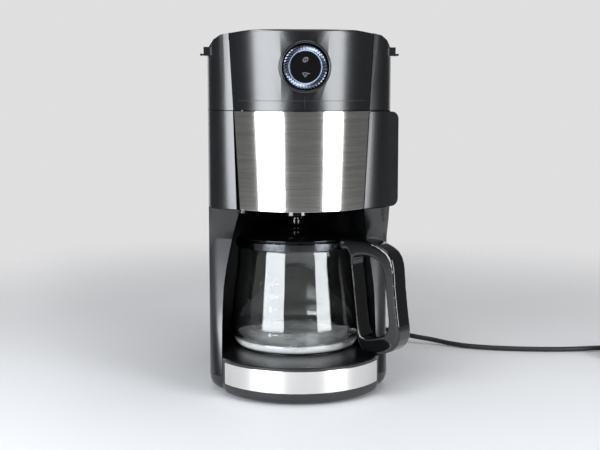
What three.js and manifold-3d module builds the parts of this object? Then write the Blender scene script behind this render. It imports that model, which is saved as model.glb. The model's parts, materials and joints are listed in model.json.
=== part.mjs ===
// Grind and brew coffee maker: millimetres, +Z up, front towards -Y, floor at Z = 0.
import * as THREE from "three";
import { mergeVertices } from "three/addons/utils/BufferGeometryUtils.js";
import Module from "manifold-3d";

const wasm = await Module();
wasm.setup();

// Driving dimensions
const halfWidth = 100;
const rearFace = 160;
const rearCornerRadius = 25;
const rearSplit = 134;
const noseFront = -113;
const carafeAxis = 9;
const wall = 3;
const clearance = 0.3;
const seamGap = 0.5;
const overrun = 6;
const footTop = 19;
const crownRise = 5;
const roofRadius = 22;

// Heights follow each other from the base up: warming plate, carafe with its lid, door, housing
const base = {
  noseRadius: 96,
  noseCentre: -20.5,
  noseEnd: 84.3,
  deckHalf: 86.6,
  shoulder: -60,
  bottom: 2.4,
  bandLow: 13.6,
  bandHeight: 24.4,
  topRise: 3.5,
  deckThickness: 3,
  bandThickness: 1.2,
  pocketInset: 7.5,
  footPocketInset: 12,
  footPocketCorner: 12,
  plateThickness: 2.6,
};
base.bandHigh = base.bandLow + base.bandHeight;
base.top = base.bandHigh + base.topRise;
const plate = { radius: 66.8, sunk: 1.2, thickness: 2, seatRadius: 63, rimWidth: 0.8, dish: 0.2 };
plate.bottom = base.top - plate.sunk;
plate.top = plate.bottom + plate.thickness;
const carafe = { belly: 76, height: 123.6, wall: 2.2, collarDepth: 8, collarThickness: 2.2 };
carafe.bottom = plate.top - plate.dish + clearance;
carafe.glassTop = carafe.bottom + carafe.height;
carafe.collarLow = carafe.glassTop - carafe.collarDepth;
const carafeLid = { rim: 66, gap: 0.4, rimThickness: 2.6, doming: 7, hub: 20, hubRise: 2.4, plug: 60.5,
  ventRadius: 5 };
carafeLid.rimLow = carafe.glassTop + carafeLid.gap;
carafeLid.rimHigh = carafeLid.rimLow + carafeLid.rimThickness;
carafeLid.dome = carafeLid.rimHigh + carafeLid.doming;
carafeLid.hubTop = carafeLid.dome + carafeLid.hubRise;
const aboveCarafe = 28.6;
const doorHeight = 106;
const upperHeight = 81.5;
const skirtDepth = 23.5;
const doorBottom = carafeLid.hubTop + aboveCarafe;
const doorTop = doorBottom + doorHeight;
const faceTop = doorTop + upperHeight;
const roofTop = faceTop + crownRise;
const skirtBottom = faceTop - skirtDepth;

// Where the bulged front meets the side panels, at the door's lower edge and at the top
const seamLow = { x: 67.3, y: -77 };
const seamHigh = { x: 77.3, y: -72 };
const sideStart = -45;
const cheekPullShares = [0.79, 0.34];

// Counts
const wideSides = 40;
const roundSides = 24;
const smallSides = 16;
const arcSteps = 14;
const cheekSteps = 6;
const cornerSteps = 4;
const crownSteps = 8;

const mix = THREE.MathUtils.lerp;
const turn = 2 * Math.PI;
// A span on one side of the middle, from its near and far distance
const sideSpan = (sign, near, far) => (sign > 0 ? [near, far] : [-far, -near]);

// Solids
function solidOf(geometry) {
  const bare = geometry.clone();
  bare.deleteAttribute("normal");
  bare.deleteAttribute("uv");
  const merged = mergeVertices(bare);
  const mesh = new wasm.Mesh({
    numProp: 3,
    vertProperties: merged.attributes.position.array,
    triVerts: new Uint32Array(merged.index.array),
  });
  return new wasm.Manifold(mesh);
}

function geometryOf(solid) {
  const mesh = solid.getMesh();
  const geometry = new THREE.BufferGeometry();
  geometry.setAttribute("position", new THREE.BufferAttribute(mesh.vertProperties, mesh.numProp));
  geometry.setIndex(new THREE.BufferAttribute(mesh.triVerts, 1));
  geometry.computeVertexNormals();
  return geometry;
}

const join = (first, ...others) => others.reduce((made, other) => made.add(other), first);
const cut = (first, ...others) => others.reduce((made, other) => made.subtract(other), first);

function block([x0, x1], [y0, y1], [z0, z1]) {
  const box = new THREE.BoxGeometry(x1 - x0, y1 - y0, z1 - z0);
  return solidOf(box.translate((x0 + x1) / 2, (y0 + y1) / 2, (z0 + z1) / 2));
}

function rodZ([x, y], radius, [z0, z1], sides = roundSides, topRadius = radius) {
  const rod = new THREE.CylinderGeometry(topRadius, radius, z1 - z0, sides);
  return solidOf(rod.rotateX(turn / 4).translate(x, y, (z0 + z1) / 2));
}

function rodY([x, z], radius, [y0, y1], sides = roundSides, rearRadius = radius) {
  const rod = new THREE.CylinderGeometry(rearRadius, radius, y1 - y0, sides);
  return solidOf(rod.translate(x, (y0 + y1) / 2, z));
}

function rodX([y, z], radius, [x0, x1], sides = smallSides) {
  const rod = new THREE.CylinderGeometry(radius, radius, x1 - x0, sides);
  return solidOf(rod.rotateZ(turn / 4).translate((x0 + x1) / 2, y, z));
}

// A closed solid through outlines with equal counts of points, listed from low to high
function loft(sections) {
  const count = sections[0].outline.length;
  const positions = sections.flatMap(({ z, outline }) => outline.flatMap(([x, y]) => [x, y, z]));
  const index = [];
  for (let row = 0; row + 1 < sections.length; row++) {
    for (let i = 0; i < count; i++) {
      const a = row * count + i;
      const b = row * count + ((i + 1) % count);
      index.push(a, b, b + count, a, b + count, a + count);
    }
  }
  const cap = ({ outline }) =>
    THREE.ShapeUtils.triangulateShape(outline.map(([x, y]) => new THREE.Vector2(x, y)), []);
  for (const [a, b, c] of cap(sections[0])) {
    index.push(a, c, b);
  }
  const top = (sections.length - 1) * count;
  for (const [a, b, c] of cap(sections[sections.length - 1])) {
    index.push(top + a, top + b, top + c);
  }
  const geometry = new THREE.BufferGeometry();
  geometry.setAttribute("position", new THREE.Float32BufferAttribute(positions, 3));
  geometry.setIndex(index);
  return geometry;
}

const prism = (outline, [z0, z1]) => solidOf(loft([{ z: z0, outline }, { z: z1, outline }]));

// An outline in X and Z, drawn out along Y
function prismY(outline, [y0, y1]) {
  const flat = loft([{ z: -y1, outline }, { z: -y0, outline }]);
  return solidOf(flat.rotateX(turn / 4));
}

// An outline in Y and Z, drawn out along X
function prismX(outline, [x0, x1]) {
  const flat = loft([{ z: x0, outline }, { z: x1, outline }]);
  return solidOf(flat.rotateZ(turn / 4).rotateY(turn / 4));
}

function turned(profile, [x, y], sides = wideSides) {
  const points = [...profile, profile[0]].map(([r, z]) => new THREE.Vector2(r, z));
  const lathe = new THREE.LatheGeometry(points, sides);
  return solidOf(lathe.rotateX(turn / 4).translate(x, y, 0));
}

function tubeGeometry(curve, radius, sides, steps) {
  const ring = Array.from({ length: sides }, (_, i) => {
    const angle = (turn * i) / sides;
    return new THREE.Vector2(radius * Math.cos(angle), radius * Math.sin(angle));
  });
  const options = { steps, bevelEnabled: false, extrudePath: curve };
  return new THREE.ExtrudeGeometry(new THREE.Shape(ring), options);
}

const curveThrough = (points) =>
  new THREE.CatmullRomCurve3(points.map((point) => new THREE.Vector3(...point)), false, "centripetal");

// Outlines
function arc([x, y], radius, from, to, steps) {
  return Array.from({ length: steps + 1 }, (_, i) => {
    const angle = mix(from, to, i / steps);
    return [x + radius * Math.cos(angle), y + radius * Math.sin(angle)];
  });
}

function roundedBox([x0, x1], [y0, y1], radius, steps = cornerSteps) {
  return [
    ...arc([x1 - radius, y0 + radius], radius, -turn / 4, 0, steps),
    ...arc([x1 - radius, y1 - radius], radius, 0, turn / 4, steps),
    ...arc([x0 + radius, y1 - radius], radius, turn / 4, turn / 2, steps),
    ...arc([x0 + radius, y0 + radius], radius, turn / 2, (3 * turn) / 4, steps),
  ];
}

const mirrored = (outline) => outline.map(([x, y]) => [-x, y]).reverse();

// The outline moved inwards by a distance, for outlines that run anticlockwise
function inset(outline, distance) {
  const count = outline.length;
  const normal = ([ax, ay], [bx, by]) => {
    const length = Math.hypot(bx - ax, by - ay);
    return [(ay - by) / length, (bx - ax) / length];
  };
  return outline.map((point, i) => {
    const [ax, ay] = normal(outline[(i + count - 1) % count], point);
    const [bx, by] = normal(point, outline[(i + 1) % count]);
    const scale = distance / (1 + ax * bx + ay * by);
    return [point[0] + (ax + bx) * scale, point[1] + (ay + by) * scale];
  });
}

function seamAt(z) {
  const share = (z - doorBottom) / (faceTop - doorBottom);
  return [mix(seamLow.x, seamHigh.x, share), mix(seamLow.y, seamHigh.y, share)];
}

function frontCircle(z) {
  const [x, y] = seamAt(z);
  const sagitta = y - noseFront;
  const radius = (x * x + sagitta * sagitta) / (2 * sagitta);
  return { radius, centre: noseFront + radius, edge: x };
}

// The bulged front at one height, from left to right, set back by a depth and trimmed at its ends
function frontArc(z, depth, trim = 0) {
  const { radius, centre, edge } = frontCircle(z);
  const half = Math.asin((edge - trim) / radius);
  return arc([0, centre], radius - depth, -turn / 4 - half, -turn / 4 + half, arcSteps);
}

// The right cheek at one height, from the seam to the straight side
function cheekCurve([x, y], end, depth, to = 1, from = 0) {
  const pull = [mix(x, end[0], cheekPullShares[0]), mix(y, end[1], cheekPullShares[1])];
  return Array.from({ length: cheekSteps + 1 }, (_, i) => {
    const t = mix(from, to, i / cheekSteps);
    const at = [0, 1].map((k) => (1 - t) ** 2 * [x, y][k] + 2 * t * (1 - t) * pull[k] + t * t * end[k]);
    const along = [0, 1].map((k) => (1 - t) * (pull[k] - [x, y][k]) + t * (end[k] - pull[k]));
    const length = Math.hypot(...along);
    return [at[0] - (depth * along[1]) / length, at[1] + (depth * along[0]) / length];
  });
}

function rearCorner(depth) {
  const centre = [halfWidth - rearCornerRadius, rearFace - rearCornerRadius];
  return arc(centre, rearCornerRadius - depth, 0, turn / 4, cornerSteps);
}

const sideEnd = [halfWidth, sideStart];

// A strip of the housing's wall on the right at one height, from the seam back to a given place
function sideStrip(z, depth, to) {
  const seam = seamAt(z);
  seam[0] += seamGap / 2;
  const outer = [...cheekCurve(seam, sideEnd, 0), [halfWidth, to]];
  const inner = [...cheekCurve(seam, sideEnd, depth), [halfWidth - depth, to]];
  return [...outer, ...inner.reverse()];
}

// The roof in front view: rounded shoulders and a low crown
function roofOutline(depth, low) {
  const half = halfWidth - roofRadius;
  const shoulder = arc([half, faceTop - roofRadius], roofRadius - depth, 0, turn / 4, cornerSteps);
  const crown = Array.from({ length: crownSteps - 1 }, (_, i) => {
    const share = 1 - (2 * (i + 1)) / crownSteps;
    return [half * share, faceTop - depth + crownRise * (1 - share * share)];
  });
  const right = [[halfWidth - depth, low], ...shoulder];
  return [...right, ...crown, ...mirrored(right)];
}

// Meshes
const model = new THREE.Group();
const cordGroup = new THREE.Group();

function material(color, roughness, metalness = 0) {
  return () => new THREE.MeshStandardMaterial({ color, roughness, metalness });
}

const satinBlack = material(0x23262b, 0.45);
const glossBlack = material(0x0c0d0f, 0.12);
const brushedSteel = material(0xb9b5ac, 0.35, 1);
const brightSteel = material(0xc9c9c9, 0.2, 1);
const darkMetal = material(0x5a5a5c, 0.5, 1);
const brass = material(0xb08d45, 0.4, 1);
const rubber = material(0x151515, 0.85);
const clearGlass = material(0xe9efee, 0.05);
const smokedPlastic = material(0x6d7378, 0.15);
const greenBoard = material(0x1f5a35, 0.6);
const ringLight = material(0xbfd8ff, 0.2);
const silicone = material(0xd8d8d2, 0.6);

function add(name, shape, finish, parent = model) {
  const geometry = shape.isBufferGeometry ? shape : geometryOf(shape);
  const mesh = new THREE.Mesh(geometry, finish());
  mesh.name = name;
  parent.add(mesh);
}

// Carafe cavity: shares of its height, of the widening of its mouth and of the sweep of its edge
const mouth = { topHalf: 67.4, lowHalf: 87, deepEdge: -36, topEdge: -76.5, footEdge: -54 };
const mouthShares = [
  [0, 1, 0.444],
  [0.137, 1, 0.198],
  [0.27, 0.974, 0.049],
  [0.404, 0.929, 0],
  [0.521, 0.862, 0],
  [0.639, 0.694, 0.025],
  [0.74, 0.51, 0.086],
  [0.81, 0.378, 0.148],
  [0.847, 0.306, 0.346],
  [0.879, 0.245, 0.531],
  [0.921, 0.163, 0.716],
  [0.964, 0.066, 0.864],
  [1, 0, 1],
];
const column = { low: footTop + seamGap / 2, high: doorBottom - seamGap / 2, sweepLow: 12, sweepHigh: 31.5 };
const liner = { gap: 6, thickness: 3, bayBack: 73 };
liner.back = carafeAxis + carafe.belly + liner.gap;
liner.front = liner.back - liner.thickness;
liner.bayFront = liner.bayBack - liner.thickness;

function columnStations() {
  return mouthShares.map(([heightShare, widthShare, edgeShare]) => ({
    z: mix(column.low, column.high, heightShare),
    half: mix(mouth.topHalf, mouth.lowHalf, widthShare),
    edge: mix(mouth.deepEdge, mouth.topEdge, edgeShare),
    sweep: mix(column.sweepLow, column.sweepHigh, edgeShare),
  }));
}

function columnFront({ half, edge, sweep }, depth) {
  return cheekCurve([half, edge], [halfWidth, edge + sweep], depth);
}

// Base
const baseRoundingShares = [
  [0, 1],
  [0.13, 0.6],
  [0.34, 0.26],
  [0.63, 0.06],
  [1, 0],
];
const baseRound = { foot: 9, nose: 5, noseSide: 8 };
const deckEdgeShare = 0.7;
const rubberFoot = { radius: 8, height: 2.7, frontX: 50, frontY: -70, rearX: 75, rearY: 130 };

function noseOutline(depth, sideInset = 0) {
  const half = Math.asin(base.noseEnd / base.noseRadius);
  const radius = base.noseRadius - depth;
  const front = arc([0, base.noseCentre], radius, -turn / 4 - half, -turn / 4 + half, arcSteps);
  const side = base.deckHalf - sideInset;
  return [...front, [side, base.shoulder], [side, liner.back], [-side, liner.back], [-side, base.shoulder]];
}

function footOutline() {
  const right = [...columnFront(columnStations()[0], 0), ...rearCorner(0)];
  return [...right, ...mirrored(right)];
}

function footPocket(margin) {
  const depth = base.footPocketInset + margin;
  const side = halfWidth - depth;
  return roundedBox([-side, side], [mouth.footEdge + depth, rearFace - depth], base.footPocketCorner);
}

function addBase() {
  const footHeight = footTop - base.bottom;
  const foot = baseRoundingShares.map(([heightShare, insetShare]) => ({
    z: base.bottom + footHeight * heightShare,
    outline: inset(footOutline(), baseRound.foot * insetShare),
  }));
  const lip = base.bandLow - clearance;
  const step = base.bandThickness + clearance;
  const lipSections = baseRoundingShares.map(([heightShare, insetShare]) => ({
    z: mix(base.bottom, lip, heightShare),
    outline: noseOutline(baseRound.nose * insetShare, baseRound.noseSide * insetShare),
  }));
  const rim = base.bandHigh + clearance;
  const upperSections = [
    { z: lip, outline: noseOutline(step) },
    { z: rim, outline: noseOutline(step) },
    { z: rim, outline: noseOutline(0) },
    { z: mix(rim, base.top, deckEdgeShare), outline: noseOutline(0) },
    { z: base.top, outline: noseOutline(step) },
  ];
  const outer = join(solidOf(loft(foot)), solidOf(loft([...lipSections, ...upperSections])));
  const ledge = plate.radius + clearance;
  const shell = cut(
    outer,
    prism(footPocket(0), [-overrun, footTop - wall]),
    prism(inset(noseOutline(0), base.pocketInset), [-overrun, base.top - base.deckThickness]),
    block([-pipe.exitHalf, pipe.exitHalf], [0, liner.back + overrun], [footTop + wall, pipe.exitTop]),
    rodZ([0, carafeAxis], ledge, [plate.bottom - clearance, base.top + overrun], wideSides),
    rodZ([0, carafeAxis], plate.seatRadius, [footTop, base.top + overrun], wideSides),
  );
  add("base_shell", shell, satinBlack);

  const band = (depth) => noseOutline(depth).slice(0, arcSteps + 1);
  const bandOutline = [...band(0), ...band(base.bandThickness).reverse()];
  add("base_trim_band", prism(bandOutline, [base.bandLow, base.bandHigh]), brushedSteel);

  const plateBottom = rubberFoot.height + clearance;
  const plateSpan = [plateBottom, plateBottom + base.plateThickness];
  const bottomPlate = join(
    prism(footPocket(clearance), plateSpan),
    prism(inset(noseOutline(0), base.pocketInset + clearance), plateSpan),
  );
  add("base_bottom_plate", bottomPlate, satinBlack);

  const { frontX, frontY, rearX, rearY } = rubberFoot;
  for (const [where, x, y] of [["front", frontX, frontY], ["rear", rearX, rearY]]) {
    add(`foot_${where}_left`, rodZ([-x, y], rubberFoot.radius, [0, rubberFoot.height], smallSides), rubber);
    add(`foot_${where}_right`, rodZ([x, y], rubberFoot.radius, [0, rubberFoot.height], smallSides), rubber);
  }
}

// Warming plate and heater
const pipe = { radius: 4.4, hoseRadius: 3.6, hoseWall: 1, loopRadius: 44, openShare: 0.1, length: 51,
  exitHalf: 50, exitDrop: 3.1 };
const thermostat = { radius: 8, height: 6, flangeRadius: 11, flangeHeight: 1.5 };
pipe.exitTop = base.top - pipe.exitDrop;
pipe.height = plate.bottom - clearance - pipe.radius;
pipe.hoseHeight = pipe.exitTop - pipe.hoseRadius - clearance;
pipe.endX = pipe.loopRadius * Math.sin(turn * pipe.openShare);
pipe.endY = carafeAxis + pipe.length;

function addWarming() {
  const { radius, bottom, top, rimWidth, dish } = plate;
  const profile = [[0, bottom], [radius, bottom], [radius, top - dish], [radius - dish, top],
    [radius - rimWidth, top], [radius - rimWidth - dish, top - dish], [0, top - dish]];
  add("warming_plate", turned(profile, [0, carafeAxis]), glossBlack);

  const half = turn / 2 - turn * pipe.openShare;
  const loop = arc([0, carafeAxis], pipe.loopRadius, -turn / 4 - half, -turn / 4 + half, smallSides);
  const points = [[-pipe.endX, pipe.endY], ...loop, [pipe.endX, pipe.endY]];
  const path = curveThrough(points.map(([x, y]) => [x, y, pipe.height]));
  add("flow_heater", tubeGeometry(path, pipe.radius, smallSides / 2, roundSides), darkMetal);

  const underside = plate.bottom - clearance;
  const { flangeRadius, flangeHeight } = thermostat;
  const body = join(
    rodZ([0, carafeAxis], thermostat.radius, [underside - thermostat.height, underside], smallSides),
    rodZ([0, carafeAxis], flangeRadius, [underside - flangeHeight, underside], smallSides),
  );
  add("plate_thermostat", body, brightSteel);
}

// Door hinge, shared by the door, the control panel and the left column
const hinge = { inset: 3.8, setback: 1.2, pinRadius: 1, bore: 1.25, barrel: 2.2, tab: 3, tabHeight: 3.2,
  pinInset: 0.5 };
hinge.x = hinge.inset - seamLow.x;
hinge.y = seamLow.y + hinge.setback;

function hingeTab([z0, z1]) {
  const at = [hinge.x, hinge.y];
  return {
    solid: rodZ(at, hinge.tab, [z0, z1], smallSides),
    bore: rodZ(at, hinge.bore, [z0 - overrun, z1 + overrun], smallSides),
  };
}

function addColumns() {
  const stations = columnStations();
  const side = halfWidth - wall;
  const rear = rearSplit - seamGap / 2;
  const linerSide = liner.back + clearance;
  const outer = stations.map((station) => ({
    z: station.z,
    outline: [[station.half, linerSide], ...columnFront(station, 0), [halfWidth, rear], [side, rear],
      [side, linerSide]],
  }));
  const hollow = [
    { ...stations[0], z: column.low - overrun }, ...stations.slice(1, -1),
    { ...stations.at(-2), z: column.high - wall }];
  const pocket = hollow.map((station) => ({
    z: station.z,
    outline: [[station.half + wall, rear + overrun],
      ...columnFront({ half: station.half + wall, edge: station.edge + wall, sweep: station.sweep }, 0)
        .map(([x, y]) => [Math.min(x, side), y]),
      [side, rear + overrun]],
  }));
  const right = cut(solidOf(loft(outer)), solidOf(loft(pocket)));
  add("column_right", right, satinBlack);

  const flip = (sections) =>
    solidOf(loft(sections.map(({ z, outline }) => ({ z, outline: mirrored(outline) }))));
  const tabSpan = [column.high - hinge.tabHeight, column.high];
  const tab = hingeTab(tabSpan);
  const rootSpan = [hinge.y + hinge.bore, hinge.y + 2 * hinge.tab];
  const tabRoot = block([-mouth.topHalf - wall, hinge.x], rootSpan, tabSpan);
  const left = join(cut(flip(outer), flip(pocket)), tab.solid, tabRoot);
  add("column_left", cut(left, tab.bore), satinBlack);

  const rows = stations.filter(({ z }) => z > base.top);
  const plateRows = [{ ...rows[0], z: base.top + clearance }, ...rows.slice(0, -1), { ...rows.at(-1) }];
  const linerPlate = plateRows.map(({ z, half }) => {
    const x = half - clearance;
    return { z, outline: [[-x, liner.front], [x, liner.front], [x, liner.back], [-x, liner.back]] };
  });
  const shelfHalf = mouth.topHalf - clearance;
  const shelfSpan = [column.high - wall, column.high + wall];
  const shelf = block([-shelfHalf, shelfHalf], [liner.bayFront, liner.back], shelfSpan);
  const bayHalf = side - clearance;
  const baySpan = [doorBottom + clearance, liner.top];
  const bayPlate = block([-bayHalf, bayHalf], [liner.bayFront, liner.bayBack], baySpan);
  add("cavity_liner", join(solidOf(loft(linerPlate)), shelf, bayPlate), glossBlack);
}

// Middle side panels: the left one runs forward to the seam, the right one stops behind the door grip
const middle = { low: doorBottom + seamGap / 2, high: doorTop - seamGap / 2 };
middle.rightFront = sideStart + seamGap;
const swingRoom = { low: 2.6, high: 0.4 };

function addMiddlePanels() {
  const rear = rearSplit - seamGap / 2;
  const strip = [middle.low, middle.high].map((z) => ({ z, outline: mirrored(sideStrip(z, wall, rear)) }));
  const seamReach = (z) => Math.hypot(seamAt(z)[0] + hinge.x, seamAt(z)[1] - hinge.y);
  const span = [middle.low, middle.high];
  const lowReach = seamReach(middle.low) + swingRoom.low;
  const highReach = seamReach(middle.high) + swingRoom.high;
  const swing = rodZ([hinge.x, hinge.y], lowReach, span, roundSides, highReach);
  add("side_panel_left", cut(solidOf(loft(strip)), swing), satinBlack);
  const side = halfWidth - wall;
  add("side_panel_right", block([side, halfWidth], [middle.rightFront, rear], span), satinBlack);
}

// Upper housing: a tub with rounded shoulders, open in front for the control panel and on top for the lids
const floor = { drop: 8.5, thickness: 3.5, front: -56, frontHalf: 80, sideGap: 1.5 };
floor.low = doorTop - floor.drop;
floor.high = floor.low + floor.thickness;
floor.sideFront = sideStart + floor.sideGap;
liner.top = floor.low - clearance;
const lid = { front: -57.5, rear: 41.6, frontHalf: 74, lipDrop: 6.5, wall: 2.5 };
lid.lip = faceTop - lid.lipDrop;
const seat = { drop: 12, thickness: 3, cupDepth: 12, cupFloor: 2 };
seat.low = doorBottom - seat.drop;
seat.high = seat.low + seat.thickness;
seat.cupLow = seat.low - seat.cupDepth;
const tank = { half: 85.5, frontGap: 8.6, rearGap: 4, lift: 2, corner: 14, wall: 2.2 };
tank.front = liner.back + tank.frontGap;
tank.rear = rearFace - tank.rearGap;
tank.bottom = seat.high + tank.lift;
tank.top = lid.lip;
const tankLid = { margin: 0.9, opening: 1.5 };
const tankHinge = { setback: 6.6, rise: 6, radius: 2.5, pin: 1.5, bore: 1.8, ear: 2.6, skirtGap: 7.4 };
tankHinge.y = rearFace - tankHinge.setback;
tankHinge.z = tank.top + tankHinge.rise;
tankHinge.skirtEnd = tankHinge.y - tankHinge.skirtGap;
const lidHinge = { gap: 0.4, drop: 0.2, radius: 2.2, pinRadius: 1, bore: 1.3, inner: 12, outer: 30 };
lidHinge.y = lid.rear + lidHinge.gap;
lidHinge.z = roofTop - lidHinge.drop;
const grinder = { x: 20, y: 20, cupInner: 25, cupOuter: 28, lift: 15, floorThickness: 3, cupDepth: 19 };
grinder.floorLow = floor.high + grinder.lift;
grinder.floorHigh = grinder.floorLow + grinder.floorThickness;
grinder.top = grinder.floorHigh + grinder.cupDepth;
const gears = { pitchPerTooth: 1.75, wheelTeeth: 48, pinionTeeth: 8, thickness: 6.4, gap: 0.8,
  backlash: 0.35 };
gears.high = grinder.floorLow - gears.gap;
gears.low = gears.high - gears.thickness;
gears.distance = (gears.pitchPerTooth * (gears.wheelTeeth + gears.pinionTeeth)) / 2 + gears.backlash;
const motor = { x: grinder.x, y: grinder.y + gears.distance, radius: 21, topGap: 15.5 };
motor.top = roofTop - motor.topGap;
const chute = { x: 12, half: 7.6, wall: 1.5, depth: 12.6, run: 16.6, gap: 0.4, drop: 2.7, height: 12 };
chute.mouth = grinder.y - grinder.cupOuter - chute.gap;
chute.rear = chute.mouth - chute.run;
chute.front = chute.rear - chute.depth;
chute.low = floor.low - chute.drop;
chute.high = grinder.floorHigh + chute.height;
const shower = { x: -22, y: 14, radius: 22, thickness: 3.5, neckX: -34, neckY: 24, neckRadius: 5.5,
  holeRadius: 1.2, holes: 6 };
shower.low = floor.low - shower.thickness;
const upper = { low: doorTop + seamGap / 2 };
const doming = { front: -40, rear: 130, frontDrop: 5, rearDrop: 3.5 };
const domingShares = [0, 0.34, 0.72, 1];

// The crown in side view falls off towards the front and the back
function domeOutline(depth, low) {
  const crown = roofTop - depth;
  const rearSlope = domingShares.map((share) => [
    mix(doming.rear, rearFace, share), crown - doming.rearDrop * share * share]);
  const frontSlope = domingShares.map((share) => [
    mix(doming.front, noseFront, share), crown - doming.frontDrop * share * share]);
  return [[noseFront, low], [rearFace, low], ...rearSlope.reverse(), ...frontSlope];
}

function roofSpace(depth, low) {
  const across = prismY(roofOutline(depth, low), [noseFront, rearFace + overrun]);
  return across.intersect(prismX(domeOutline(depth, low), [-halfWidth, halfWidth]));
}

// The housing's plan, open or closed in front
function housingPlan(z, depth, forward) {
  const [x, y] = seamAt(z);
  const seam = [x + seamGap / 2, y];
  const ahead = forward ? [[seam[0], y - forward], seam] : [];
  const right = [...ahead, ...cheekCurve(seam, sideEnd, depth), ...rearCorner(depth)];
  return [...right, ...mirrored(right)];
}

function housingSolid(depth, forward, [z0, z1]) {
  return solidOf(loft([z0, z1].map((z) => ({ z, outline: housingPlan(z, depth, forward) }))));
}

// The lid in side view: its front is an arc round the hinge, so that it clears the housing as it swings up
function lidOutline(setback, rear, low, high) {
  const reach = lidHinge.y - lid.front - setback;
  const front = Array.from({ length: cornerSteps + 1 }, (_, i) => {
    const z = mix(high, low, i / cornerSteps);
    return [lidHinge.y - Math.sqrt(reach ** 2 - (lidHinge.z - z) ** 2), z];
  });
  return [...front, [rear, low], [rear, high]];
}

function tankOutline(margin) {
  return roundedBox([-tank.half - margin, tank.half + margin], [tank.front - margin, tank.rear + margin],
    tank.corner + margin);
}

function addUpperHousing() {
  const { low } = upper;
  const outer = housingSolid(0, 0, [low, roofTop]).intersect(roofSpace(0, low));
  const under = low - overrun;
  const inner = housingSolid(wall, overrun, [under, roofTop]).intersect(roofSpace(wall, under));
  const lidSide = lidOutline(-seamGap, lidHinge.y + clearance, skirtBottom - seamGap, roofTop + overrun);
  const frontHalf = lid.frontHalf + seamGap;
  const panelHalf = seamHigh.x + seamGap / 2;
  const lipSpan = [lid.lip - seamGap, roofTop + overrun];
  const knuckle = [lidHinge.y - lidHinge.radius, lidHinge.y + lidHinge.radius + clearance];
  const knuckleLow = lidHinge.z - lidHinge.radius - clearance;
  const knuckleHalf = lidHinge.inner + clearance;
  const shell = cut(
    outer,
    inner,
    prismX(lidSide, [-halfWidth - overrun, halfWidth + overrun]),
    block([-frontHalf, frontHalf], [noseFront, lid.front + overrun], lipSpan),
    block([-panelHalf, panelHalf], [noseFront, seamHigh.y + wall + seamGap], lipSpan),
    prism(tankOutline(tankLid.opening), [skirtBottom, roofTop + overrun]),
    block([-knuckleHalf, knuckleHalf], knuckle, [knuckleLow, roofTop + overrun]),
  );
  const side = halfWidth - wall - clearance;
  const stepRear = rearSplit - rearCornerRadius;
  const steps = [-1, 1].flatMap((sign) => [
    block(sideSpan(sign, side - wall, side + wall), [floor.sideFront, stepRear], [low, low + wall]),
    block(sideSpan(sign, side - wall, side), [floor.sideFront, stepRear], [floor.low, low + wall]),
  ]);
  const plates = [
    block([-side, side], [floor.sideFront, liner.back], [floor.low, floor.high]),
    block([-floor.frontHalf, floor.frontHalf], [floor.front, liner.back], [floor.low, floor.high]),
  ];
  const lidPivot = [lidHinge.y, lidHinge.z];
  const knuckles = [-1, 1].map((sign) =>
    rodX(lidPivot, lidHinge.radius, sideSpan(sign, lidHinge.inner + clearance, lidHinge.outer)));
  const pinBore = rodX(lidPivot, lidHinge.bore, [-lidHinge.outer - overrun, lidHinge.outer + overrun]);
  const chuteHalf = chute.half + clearance;
  const through = [floor.low - overrun, floor.high + overrun];
  const chuteDepth = [chute.front - clearance, chute.rear + clearance];
  const openings = [
    block([chute.x - chuteHalf, chute.x + chuteHalf], chuteDepth, through),
    rodZ([shower.neckX, shower.neckY], shower.neckRadius + clearance, through),
  ];
  const housing = cut(join(shell, ...steps, ...plates, ...knuckles), pinBore, ...openings);
  add("upper_housing", housing, satinBlack);
  add("lid_hinge_pin", rodX(lidPivot, lidHinge.pinRadius, [-lidHinge.outer, lidHinge.outer]), brightSteel);
}

// Hopper lid with a finger lip on each side
const ear = { setback: 5.5, length: 24, reach: 4.1, lift: 0.5, height: 9, lipReach: 6.6, bead: 1.2,
  beadLift: 0.4 };
ear.front = lid.front + ear.setback;
ear.rear = ear.front + ear.length;
ear.low = skirtBottom + ear.lift;
ear.high = ear.low + ear.height;
ear.lipLow = ear.low + ear.beadLift;
ear.end = halfWidth + ear.reach;
ear.lipEnd = halfWidth + ear.lipReach;

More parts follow.
